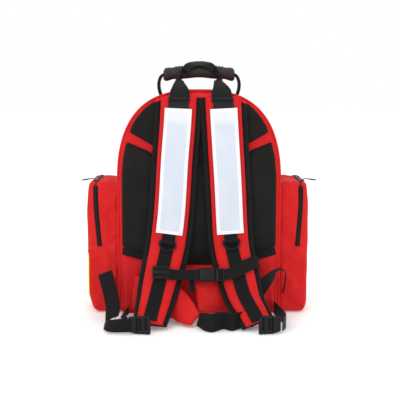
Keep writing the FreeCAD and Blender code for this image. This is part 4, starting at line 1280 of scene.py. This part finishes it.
def make_slider(name, middle, x_dir, z_dir, node):
    """A slider: its body, with a bridge for the pull."""
    place = frame_matrix(middle, x_dir, np.cross(z_dir, x_dir), z_dir)
    parts = blocks("metal", place, (
        ((-5.5, -4, 0), (5.5, 4, 2.3), 1.0),
        ((-4, -1.5, 2.0), (-2.2, 1.5, 4), 0.6),
        ((2.2, -1.5, 2.0), (4, 1.5, 4), 0.6),
        ((-4, -1.5, 3.0), (4, 1.5, 4.1), 0.5),
    ))
    join(name, parts, node, "zip_metal", (node,))


def make_pull(name, hinge, x_dir, z_dir, node):
    """A pull: a neck from its hinge on, and a ribbed tab."""
    z_dir = unit(arr(z_dir) - arr(x_dir) * np.dot(z_dir, x_dir))
    place = frame_matrix(hinge, x_dir, np.cross(z_dir, x_dir), z_dir)

    def narrow(x, y, z):
        """The tab's end at the neck is narrower."""
        return (x, y * (0.55 if x < 11 else 1.0), z)

    ribs = [((x, -2.6, -0.25), (x + 1.2, 2.6, 2.45), 0.3, 2) for x in (13.5, 16.2, 18.9)]
    parts = blocks("pull", place, [
        ((0.4, -1.7, 0.3), (9.5, 1.7, 1.9), 0.7),
        ((8.5, -3.3, 0.0), (24, 3.3, 2.2), 0.95, 3, narrow),
        *ribs,
    ])
    join(name, parts, node, "pull_plastic", (node,))


X_AXIS, Y_AXIS, Z_AXIS = (1, 0, 0), (0, 1, 0), (0, 0, 1)
lean = math.radians(8)
for side, word in ((-1, "left"), (1, "right")):
    at = arr([side * 198.5, -29, 257.3])
    make_slider("side_zip_slider_" + word, at, Y_AXIS, Z_AXIS, "side_slider_" + word)
    make_pull(
        "side_zip_pull_" + word, at + [side * 2, 0, 3.6], (side * math.cos(lean), 0, -math.sin(lean)),
        Z_AXIS, "side_pull_" + word,
    )
make_slider("main_zip_slider", (-153.3, 71.5, 180), Z_AXIS, (-1, 0, 0), "main_slider")
make_pull("main_zip_pull", (-156.7, 71.5, 173.8), (0, 0, -1), (-1, 0, 0), "main_pull")
make_slider("front_zip_slider", (40, 162.9, 256.3), X_AXIS, Z_AXIS, "front_slider")
lean = math.radians(3)
make_pull("front_zip_pull", (40, 164.9, 259.9), (0, math.cos(lean), -math.sin(lean)), Z_AXIS, "front_pull")

# ---------------------------------------------------------------- shoulder straps

STRAP_LINE = {
    "left": [
        (-39.0, 12.5, 418.5), (-41.4, 15.5, 370), (-46.4, 16.5, 310), (-51.4, 17.5, 230), (-57.6, 20, 165),
        (-64, 29, 125), (-68.6, 37.7, 105), (-73.3, 46.3, 85), (-78, 55, 65), (-83, 72, 43),
        (-88.5, 94, 24), (-91, 107, 12.5),
    ],
    "right": [
        (42.4, 12.5, 418.5), (45.0, 15.5, 370), (48.8, 16.5, 310), (53.6, 17.5, 230), (57, 20, 165),
        (62, 29, 125), (67, 37.7, 105), (72, 46.3, 85), (77, 55, 65), (85, 72, 44.5),
        (97, 93, 27), (105, 106, 14.5),
    ],
}
TAPER = arr([1, 1, 1, 1, 1, 0.98, 0.96, 0.93, 0.9, 0.84, 0.77, 0.72])
ON_FACE, ON_WEB = 7.3, 9.6  # how far the face and the webbing on it stand out from the strap's line
BACKING_HALF, FACE_HALF = 43.3, 33
RING_Z = {"left": 146, "right": 149}
SHIFT = 1.9  # the harness hangs a little to the right of the pack's middle


def from_rear(points):
    """Points given by their distance behind the rear panel, in the part's frame."""
    return [(x + SHIFT, REAR - out, z) for x, out, z in points]


def stretch(path, high, low):
    """The part of a line between two heights."""
    place, along, share, run = path
    keep = (place[:, 2] <= high) & (place[:, 2] >= low)
    return place[keep], along[keep], share[keep], run[keep] - run[keep][0]


def strap_spot(word, z):
    """A place on a strap's line, with its directions across, out and down."""
    place, along, _, _ = line(from_rear(STRAP_LINE[word]), 1200)
    k = int(np.argmin(np.abs(place[:, 2] - z)))
    wide = unit(arr(X_AXIS) - along[k] * along[k][0])
    return place[k], wide, np.cross(along[k], wide), along[k]


backing_section = [
    (-1, 0.0, -3.3), (-1, 0.3, -1.5), (-1, 1.6, -0.45), (-1, 4.5, -0.1), (-1, 8.2, -0.35), (-1, 9.4, -1.0),
    (-1, 10.6, -1.5), (-0.4, 0, -1.5), (0.4, 0, -1.5), (1, -10.6, -1.5), (1, -9.4, -1.0), (1, -8.2, -0.35),
    (1, -4.5, -0.1), (1, -1.6, -0.45), (1, -0.3, -1.5), (1, 0.0, -3.3), (1, -0.3, -5.0), (1, -1.6, -6.0),
    (1, -4.5, -6.3), (1, -8.2, -6.1), (1, -9.6, -5.5), (1, -11, -5.9), (0.5, 0, -6.2), (0, 0, -6.3),
    (-0.5, 0, -6.2), (-1, 11, -5.9), (-1, 9.6, -5.5), (-1, 8.2, -6.1), (-1, 4.5, -6.3), (-1, 1.6, -6.0),
    (-1, 0.3, -5.0),
]
backing_picks = [0] * 6 + [1] * 3 + [0] * 12 + [1] * 5 + [0] * 5
face_section = [
    (-1, 0.2, 0.2), (-1, 0.0, 1.8), (-1, 0.5, 3.8), (-1, 1.8, 5.6), (-1, 4.0, 6.7), (-0.7, 0, 7.0),
    (-0.45, 0, 6.9), (-0.2, 0, 6.8), (0.2, 0, 6.8), (0.45, 0, 6.9), (0.7, 0, 7.0), (1, -4.0, 6.7),
    (1, -1.8, 5.6), (1, -0.5, 3.8), (1, 0.0, 1.8), (1, -0.2, 0.2), (0.5, 0, 0.1), (0, 0, 0.1),
    (-0.5, 0, 0.1),
]


def wrinkle(seed):
    """Short creases across a strap's face, more of them where it bends."""

    def ripple(u, s, section):
        found = np.zeros_like(u)
        top = np.clip(section[:, 2] / 6.0, 0, 1)
        for i, at in enumerate(s[:, 0]):
            bends = 0.9 * math.exp(-(((at - 262) / 42) ** 2)) + 0.5 * math.exp(-(((at - 355) / 40) ** 2))
            for j, across in enumerate(u[i]):
                n = noise.noise(Vector((across / 30 + seed, at / 13, seed * 2)))
                found[i, j] = (0.85 * n * (0.35 + bends) - 0.25) * top[j]
        return found

    return ripple


def tape_crease(u, s, section):
    """Slow waves along the reflective strip's outer face."""
    return 0.35 * np.sin(s / 17.0 + u / 20) * (section[:, 2] > ON_WEB + 0.3)


ROOT_PROFILE = [
    (11.8, 416.2), (13.6, 417.6), (13.0, 419.6), (10.6, 422.2), (6.6, 424.6), (3.0, 426.4), (0.2, 427.4),
    (-1.0, 422.0), (-1.0, 414.0), (5.0, 414.0),
]


def strap_root(word, side):
    """The slanting length of red cloth under which a strap's top is sewn."""
    middle = from_rear([STRAP_LINE[word][0]])[0][0]
    verts = []
    for k, x in enumerate(np.linspace(-43.0, 43.0, 30)):
        inset = 0.8 if k in (0, 29) else 0.0
        edge = roof(middle + x) - 1.0
        for n, (out, z) in enumerate(ROOT_PROFILE):
            rumple = 0.0
            if 1 < n < 6:
                rumple = 0.7 * noise.noise(Vector((x / 9 + side * 3, out / 9, z / 9)))
            z = min(z, edge - (0.45 * max(0.0, 9 - abs(n - 6) * 2) if 1 < n < 8 else 6))
            verts.append((middle + x, REAR - out + inset * (n < 7) - rumple, z))
    faces = grid_faces(30, len(ROOT_PROFILE)) + end_caps(30, len(ROOT_PROFILE))
    root = clean(piece("strap_root_" + word, verts, faces, "red", slot="red_fabric", sharp=70))
    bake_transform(root)


for word, side in (("left", -1), ("right", 1)):
    body = "strap_" + word
    path = line(from_rear(STRAP_LINE[word]), 130)
    fine = line(from_rear(STRAP_LINE[word]), 260)
    backing = sweep(
        "strap_backing_pad_" + word, path, X_AXIS, BACKING_HALF * TAPER, backing_section,
        ["binding", "mesh"], picks=backing_picks, body=body, slot="black_binding",
        cad=("strap_backing_" + word,), sharp=60,
    )
    for v in backing.data.vertices:
        v.co.z = min(v.co.z, (roof(v.co.x / MM) - 8) * MM)
    face = sweep(
        "strap_face_pad_" + word, path, X_AXIS, FACE_HALF * TAPER, face_section, "red",
        ripple=wrinkle(side * 2.3), body=body, slot="red_fabric", cad=("strap_pad_" + word,), sharp=60,
    )
    band = sweep(
        "band", stretch(fine, 418, 14.5), X_AXIS, 12.5, flat_section(2.0, low=ON_FACE - 0.1), "webbing"
    )
    # a wider grey length of webbing is sewn over the strap's top
    wide_band = sweep(
        "wide", stretch(fine, 417.5, 394), X_AXIS, 19, flat_section(2.2, low=ON_FACE - 0.2), "webbing_grey"
    )
    # the folded end that holds the ring
    spot, wide, out, down = strap_spot(word, RING_Z[word])
    keeper_points = [
        spot + down * lower + out * (ON_WEB + off)
        for lower, off in ((-13, 0.6), (-7, 1.2), (-2.4, 5.4), (1.4, 6.6), (3.9, 3.4), (2.6, 0.8))
    ]
    keeper = sweep("keeper", line(keeper_points, 26), tuple(wide), 11.5, flat_section(1.7), "webbing")
    join(
        "strap_centre_webbing_" + word, [band, wide_band, keeper], body, "black_webbing",
        ("strap_webbing_" + word,),
    )
    sweep(
        "reflective_" + word, stretch(fine, 398, 162), X_AXIS, 25,
        flat_section(0.9, low=ON_WEB - 0.1, steps=10), "tape", ripple=tape_crease,
        body=body, slot="reflective_tape", cad=("reflective_strip_" + word,),
    )
    strap_root(word, side)
    # rows of stitching inside each edge of the backing and of the face
    place, wide, out, _, share = frames(path, X_AXIS)
    rows = []
    for half, inset, lift, thread in (
        (BACKING_HALF, 8.6, -0.35, "thread_black"), (FACE_HALF, 4.6, 6.85, "thread")
    ):
        for s in (-1, 1):
            at = place + wide * (s * (at_share(half * TAPER, share) - inset))[:, None] + out * lift
            rows.append(stitches("row", at, np.gradient(at, axis=0), out, thread, pitch=4.2))
    join("strap_stitches_" + word, rows, body, "red_fabric")

# ---------------------------------------------------------------- rings, locks, sternum strap

RING_R = 15.5
for word in ("left", "right"):
    spot, wide, out, down = strap_spot(word, RING_Z[word])
    centre = spot + out * (ON_WEB + 3.2)
    loop = [
        centre + wide * RING_R * math.cos(t) + down * RING_R * math.sin(t) for t in np.linspace(0, math.pi, 30)
    ]
    loop += [centre + wide * RING_R * f for f in np.linspace(-1, 1, 14)[1:-1]]
    tube(
        "dee_ring_" + word, arr(loop), 2.1, "plastic", sides=14, body="ring_" + word, slot="hard_plastic",
        cad=("d_ring_" + word,),
    )


def nose(x, y, z):
    """A ladder lock's wide rail draws in toward its outer edge."""
    return (x, y, z * (0.84 if x > 15 else 1.0))


for word, spot, angle in (("left", (-108, 125, 17.3), 172), ("right", (125, 130, 17.3), 10)):
    x_dir = (math.cos(math.radians(angle)), math.sin(math.radians(angle)), 0)
    place = frame_matrix(from_rear([spot])[0], x_dir, np.cross(Z_AXIS, x_dir), Z_AXIS)
    parts = blocks("plastic", place, (
        ((4.6, -1.0, -16.4), (20.4, 7.2, 16.4), 3.7, 7, nose),
        ((-20, 0, -16.4), (9, 6, -12.8), 1.4),
        ((-20, 0, 12.8), (9, 6, 16.4), 1.4),
        ((-20.2, 0.0, -14), (-13.2, 6.0, 14), 2.2, 5),
        ((-11.4, -0.5, -14), (-2.6, 6.5, 14), 2.6, 5),
        ((-0.6, 0.2, -14), (3.0, 5.8, 14), 1.5),
    ))
    parts += blocks("webbing", place, [((-17, 2.2, -11.8), (8, 4.0, 11.8), 0.6)])
    join("ladder_buckle_" + word, parts, "lock_" + word, "hard_plastic", ("ladder_lock_" + word,))

# the sternum strap's own axes: across, out and up, where the shoulder straps slope
slope = math.atan2(55 - 29, 125 - 65)
RISE = arr([0, math.sin(slope), math.cos(slope)])
AWAY = arr([0, -math.cos(slope), math.sin(slope)])
left_at = strap_spot("left", 86)[0]
STERNUM = arr([0, left_at[1], left_at[2]])
STERNUM_PLACE = frame_matrix(STERNUM, X_AXIS, AWAY, RISE)
SLIDER_OUT, BUCKLE_OUT, SLIDE_X = ON_WEB + 1, ON_WEB + 1.2, left_at[0]


def on_sternum(points):
    return [STERNUM + arr(X_AXIS) * x + AWAY * out + RISE * up for x, out, up in points]


def slider_block(x0, out0, up0, x1, out1, up1, radius):
    return (SLIDE_X + x0, SLIDER_OUT + out0, up0), (SLIDE_X + x1, SLIDER_OUT + out1, up1), radius


parts = blocks("plastic", STERNUM_PLACE, (
    slider_block(-15.5, 0, -7, -12.4, 5, 17, 1.4),
    slider_block(12.4, 0, -7, 15.5, 5, 17, 1.4),
    slider_block(-15, 0.3, -7.4, 15, 4.8, -3.4, 1.3),
    slider_block(-15, 0.3, 2, 15, 4.8, 8, 1.3),
    slider_block(-15, 0.3, 13, 15, 4.8, 17, 1.3),
))
parts += blocks("webbing", STERNUM_PLACE, [slider_block(-12.8, 0.6, -5, 12.8, 2.4, 14.5, 0.6)])
join("sternum_slide_bar", parts, "sternum", "hard_plastic", ("sternum_slider",))

F0, F1 = -5.0, 30.0  # the buckle's housing, across
M0, M1 = 30.6, 47.6  # its plug, across
out0, out1 = BUCKLE_OUT, BUCKLE_OUT + 8


def squeeze(x, y, z):
    """The housing narrows from its mouth to its webbing bar."""
    return (x, y, z * (0.86 if x < F0 + 6 else 1.0))


parts = blocks("plastic", STERNUM_PLACE, (
    ((F0 + 5, out0, -12.4), (F1, out1, 12.4), 3.0, 5),
    ((F0, out0 + 0.8, -12), (F0 + 3, out1 - 0.8, 12), 1.3, 3, squeeze),
    ((F0, out0 + 0.8, -12.2), (F0 + 8, out1 - 0.8, -9.6), 1.1, 3, squeeze),
    ((F0, out0 + 0.8, 9.6), (F0 + 8, out1 - 0.8, 12.2), 1.1, 3, squeeze),
    ((F0 + 12, out0 + 1.6, -13.1), (F0 + 24, out1 - 1.6, -11.6), 0.6),
    ((F0 + 12, out0 + 1.6, 11.6), (F0 + 24, out1 - 1.6, 13.1), 0.6),
    ((F0 + 11, out1 - 0.5, -6), (F0 + 28, out1 + 0.5, 6), 0.9),
))
join("buckle_housing", parts, "sternum", "hard_plastic", ("buckle_female",))
parts = blocks("plastic", STERNUM_PLACE, [
    ((M0, out0 + 0.2, -12.4), (M0 + 7, out1 - 0.2, 12.4), 2.4, 5),
    ((M0 + 5, out0 + 1, -12), (M1, out1 - 1, -9.4), 1.1),
    ((M0 + 5, out0 + 1, 9.4), (M1, out1 - 1, 12), 1.1),
    ((M1 - 3.6, out0 + 1, -12), (M1, out1 - 1, 12), 1.3),
    ((M0 + 9, out0 + 1.4, -11), (M0 + 11, out1 - 1.4, 11), 0.9),
    ((M0 - 20, out0 + 2.2, -9.2), (M0 + 1, out0 + 5.8, -6.6), 1.0),
    ((M0 - 20, out0 + 2.2, -1.4), (M0 + 1, out0 + 5.8, 1.4), 1.0),
    ((M0 - 20, out0 + 2.2, 6.6), (M0 + 1, out0 + 5.8, 9.2), 1.0),
])
join("buckle_plug", parts, "sternum_male", "hard_plastic", ("buckle_male",))

sweep(
    "chest_webbing_left",
    line(on_sternum([
        (SLIDE_X + 14, SLIDER_OUT + 2, 2), (SLIDE_X + 27, SLIDER_OUT + 3, 0.5), (F0 - 8, BUCKLE_OUT + 4, 0),
        (F0 + 7, BUCKLE_OUT + 4, 0),
    ]), 30),
    tuple(RISE), 10.0, flat_section(2.2), "webbing", body="sternum", slot="black_webbing",
    cad=("sternum_webbing_left",),
)
sweep(
    "chest_webbing_right",
    line(on_sternum([
        (M1 - 9, BUCKLE_OUT + 4, 0), (M1 + 12, BUCKLE_OUT + 4, 3), (M1 + 32, SLIDER_OUT + 4, 13),
        (M1 + 50, SLIDER_OUT + 2, 22), (M1 + 64, SLIDER_OUT - 8, 27),
    ]), 44),
    tuple(RISE), [10, 11, 12, 12, 11], flat_section(2.0), "webbing", body="sternum_male",
    slot="black_webbing", cad=("sternum_webbing_right",),
)
tail_y = STERNUM[1] + AWAY[1] * 11
sweep(
    "chest_adjuster_tail", line([(-14, tail_y, 83), (-13, tail_y - 6, 72), (-12, tail_y - 16, 63)], 20),
    X_AXIS, 5.0, flat_section(1.6), "webbing", body="sternum", slot="black_webbing", cad=("sternum_tail",),
)

# ---------------------------------------------------------------- lower webbing


def webbing(name, points, across, half, count, body=None, cad=()):
    """A 2 mm webbing along points given from the rear panel."""
    return sweep(
        name, line(from_rear(points), count), arr(across), half, flat_section(2.0), "webbing", body=body,
        slot="black_webbing", cad=cad,
    )


lower_left = webbing(
    "anchor_webbing_left",
    [(-138, 5, 8), (-143, 40, 9), (-144, 78, 11), (-141, 106, 15), (-130, 120.5, 17.3)],
    [Z_AXIS] * 5, [6, 7, 9, 12, 12.5], 40, cad=("lower_webbing_left",),
)
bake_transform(lower_left)
lower_right = webbing(
    "anchor_webbing_right",
    [(143, 5, 14), (149, 36, 14), (154, 66, 14.5), (156, 98, 15.5), (148.5, 123, 17.3)],
    [Z_AXIS] * 5, 12.5, 40, cad=("lower_webbing_right",),
)
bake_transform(lower_right)
webbing(
    "loose_tail_left",
    [(-125, 132, 17.3), (-146, 131, 16.5), (-162, 127, 15), (-171, 117, 14), (-169, 102, 15), (-162, 84, 22),
     (-163, 62, 40), (-171, 37, 61), (-181, 16, 86)],
    [Z_AXIS, Z_AXIS, (0, 0.1, 1), (0.1, 0.4, 0.9), (0.5, 0.5, 0.7), (0.9, 0.2, 0.35), (1, 0, 0.1),
     (1, 0, 0.15), (0.95, 0, 0.4)],
    [12.5, 12.5, 11, 8.5, 10, 13, 14, 14, 14.5], 80, "lock_left", ("webbing_tail_left",),
)
webbing(
    "loose_tail_right",
    [(106, 41, 46), (115, 42, 62), (128, 43, 80), (140, 39, 91), (150, 31, 95), (160, 21, 90), (163, 14, 71),
     (159, 12, 46)],
    [(0.9, 0, -0.45), (0.85, 0.1, -0.5), (0.7, 0.4, -0.6), (0.45, 0.8, -0.4), (0.15, 1, 0), Y_AXIS,
     Y_AXIS, Y_AXIS],
    [12, 12, 12, 11, 8, 5, 4, 4], 60, "strap_right", ("webbing_tail_right",),
)

# ---------------------------------------------------------------- hip belt

WING_SECTION = [
    (-1, 0, 0), (-1, 0.6, 2.4), (-1, 2.6, 4.0), (-0.7, 0, 4.6), (-0.35, 0, 4.9), (0, 0, 5.0),
    (0.35, 0, 4.9), (0.7, 0, 4.6), (1, -2.6, 4.0), (1, -0.6, 2.4), (1, 0, 0), (1, -0.6, -2.4),
    (1, -2.6, -4.0), (0.7, 0, -4.6), (0.35, 0, -4.9), (0, 0, -5.0), (-0.35, 0, -4.9), (-0.7, 0, -4.6),
    (-1, 2.6, -4.0), (-1, 0.6, -2.4),
]
WING_ROOT = 112

for word, points, across, half in (
    ("left", [(-128, 14, 46), (-96, 27, 43), (-68, 38, 41), (-46, 54, 36), (-25, 77, 26), (-9, 93, 17)],
     [Z_AXIS, (0, 0.1, 1), (0, 0.3, 1), (0.02, 0.55, 0.83), (0.15, 0.5, 0.85), (0.3, 0.45, 0.85)],
     [36, 34, 34, 31, 24, 15]),
    ("right", [(128, 14, 50), (88, 22, 50), (42, 39, 48), (-7, 58, 48.5)],
     [Z_AXIS, (0, 0.1, 1), (0, 0.35, 0.93), (-0.28, 0.5, 0.83)], [36, 35, 33, 31]),
):

    def uneven(u, s, section):
        found = np.zeros_like(u)
        for i, j in np.ndindex(*u.shape):
            found[i, j] = 0.7 * noise.noise(Vector((u[i, j] / 26, s[i, j] / 34, len(points))))
        return found

    wing = sweep(
        "hip_wing_pad_" + word, line(from_rear(points), 60), arr(across), half, WING_SECTION, "red_low",
        ripple=uneven, body="wing_" + word, slot="red_fabric", cad=("hip_wing_" + word,), sharp=70,
    )
    puff(wing, lambda x, y, z: abs(x) > WING_ROOT, pressure=3.0, voxel=4.2, cap=3.0, stiff=14)

belt = webbing(
    "hip_belt_webbing",
    [(-3, 98, 18), (8, 110, 18), (20, 119, 18), (33, 112, 18.5), (45, 107, 18.5), (57, 112, 17.5),
     (70, 103, 17.5), (84, 93, 17), (98, 87, 17)],
    [(0.2, 0.3, 0.9), (0, 0.2, 1)] + [Z_AXIS] * 7,
    [12, 16, 17.5, 17, 16, 16.5, 16, 16, 16], 90, cad=("hip_webbing",),
)
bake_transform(belt)

# ---------------------------------------------------------------- carry handle

HY, GZ = REAR + 52, 464.0  # the handle's depth, and the height of the grip's middle
GRIP_HALF, GRIP_RISE, GRIP_SIDES = 68.0, 6, 28
GRIP_ARC = (GRIP_HALF**2 + GRIP_RISE**2) / (2 * GRIP_RISE)


def hump(x, middle, reach):
    return math.exp(-(((x - middle) / reach) ** 2))


verts = []
grip_x = np.linspace(-GRIP_HALF, GRIP_HALF, 150)
for x in grip_x:
    axis_z = GZ - GRIP_ARC + math.sqrt(GRIP_ARC**2 - x * x)
    far = abs(x)
    end = max(0.0, (far - (GRIP_HALF - 6)) / 6)
    r = 11.6 + 1.1 * hump(far, GRIP_HALF - 5, 9) - 4.6 * end**2.4
    rib = max(hump(far, spot, 1.5) for spot in (33, 38.5, 44))
    groove = 0.8 * hump(far, 52, 1.4)
    for k in range(GRIP_SIDES):
        t = 2 * math.pi * k / GRIP_SIDES
        c, s = math.cos(t), math.sin(t)
        finger = 0.7 * math.cos(x / 8.5) * max(0.0, -s) ** 2 if far < 50 else 0.0
        spoke = r + 1.9 * rib * (0.35 + 0.65 * max(0.0, s) ** 1.5) - groove - finger
        verts.append((x, HY + c * spoke, axis_z + s * spoke))
faces = grid_faces(len(grip_x), GRIP_SIDES) + end_caps(len(grip_x), GRIP_SIDES)
clean(piece(
    "grip_sleeve", verts, faces, "grip", body="handle", slot="grip_rubber", cad=("handle_grip",), sharp=60
))

legs = []
for side in (-1, 1):
    points = [
        (side * (GRIP_HALF + far), HY, z)
        for far, z in ((-5.1, GZ - 4.6), (2.9, GZ - 7.5), (7.4, GZ - 15), (8.9, GZ - 25), (4.9, LOW + TALL - 8))
    ]
    section = flat_section(5.6, edge=2.2)
    legs.append(sweep("leg", line(points, 40), Y_AXIS, [9, 10, 12, 14, 15], section, "webbing"))
handle_web = join("handle_legs", legs, None, "black_webbing", ("handle_webbing",))
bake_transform(handle_web)

# the rear loop's right half, from the strap up: x, y, z, direction across, half width
side_points = [
    (39, REAR - 22.6, 409, (1, 0, 0), 19), (39, REAR - 20.0, 417, (1, 0, 0), 19),
    (38.5, REAR - 13, 428, (1, 0, 0), 18.2), (36.5, REAR + 8, 445, (1, 0.1, 0), 8.5),
    (33, HY - 23, 457, (-0.7, 0.2, 0.5), 7), (25, HY - 16, 471, (-0.2, 0.45, 0.85), 7.5),
    (13, HY - 9, 477.5, (0, 0.84, 0.55), 9),
]
rows = []
for x, y, z, wide, half in side_points:
    flat = wide[0] > 0.9
    shift = (3 if z < 440 else 0) if flat else 2
    rows.append(((shift - x, y, z), wide if flat else (wide[0], -wide[1], -wide[2]), half))
rows.append(((0, HY - 6, 479.5), (0, -0.91, -0.41), 9))
for x, y, z, wide, half in side_points[::-1]:
    rows.append(((x + (3 if z < 440 else 0), y, z), tuple(-arr(wide)), half))
points, wides, halves = zip(*rows)
loop = sweep(
    "rear_webbing_loop", line(points, 120), arr(wides), halves, flat_section(2.2), "webbing",
    slot="black_webbing", cad=("rear_loop",),
)
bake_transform(loop)

# ---------------------------------------------------------------- floor, light, camera

floor = bpy.data.meshes.new("floor")
floor.from_pydata([(-6, -6, 0), (6, -6, 0), (6, 9, 0), (-6, 9, 0)], [], [(0, 1, 2, 3)])
floor_obj = add_object("floor", floor)
pale = Shader("pale_floor", (0.93, 0.93, 0.93), 0.7, Specular_IOR_Level=0.05, Emission_Strength=0.12)
pale.color(pale.mix(pale.times(pale.noise(3, 2), 0.1), (0.95, 0.95, 0.95), (0.93, 0.93, 0.935)))
floor.materials.append(pale.mat)

world = bpy.data.worlds.new("studio")
bpy.context.scene.world = world
world.use_nodes = True
world.node_tree.nodes["Background"].inputs["Color"].default_value = (1, 1, 1, 1)
world.node_tree.nodes["Background"].inputs["Strength"].default_value = 1.0


def lamp(name, place, target, size, power):
    """A rectangular area light that looks at a target."""
    data = bpy.data.lights.new(name, "AREA")
    data.shape = "RECTANGLE"
    data.size, data.size_y = size
    data.energy = power
    obj = add_object(name, data)
    obj.location = place
    obj.rotation_euler = (Vector(target) - Vector(place)).to_track_quat("-Z", "Y").to_euler()


lamp("key", (-1.1, -1.7, 1.7), (0, 0, 0.2), (1.4, 1.4), 13)
lamp("fill", (1.6, -1.5, 1.0), (0, 0, 0.2), (1.4, 1.4), 4)
lamp("top", (0, 0.3, 2.2), (0, 0, 0.2), (1.6, 1.6), 7)
lamp("behind", (0.4, 2.2, 1.5), (0, 0, 0.2), (1.6, 1.6), 5)

camera = bpy.data.cameras.new("camera")
camera_obj = add_object("camera", camera)
bpy.context.scene.camera = camera_obj
RISE_ANGLE, FAR = math.radians(9), 1.6
target = Vector((0, REAR * MM, 0.212))
camera_obj.location = target + Vector((0, -math.cos(RISE_ANGLE) * FAR, math.sin(RISE_ANGLE) * FAR))
camera_obj.rotation_euler = (math.pi / 2 - RISE_ANGLE, 0, 0)
camera.angle = 2 * math.atan(0.380 / FAR)
camera.shift_x, camera.shift_y = 0.0025, 0.015
bpy.context.scene.view_settings.view_transform = "Standard"

bpy.context.view_layer.update()
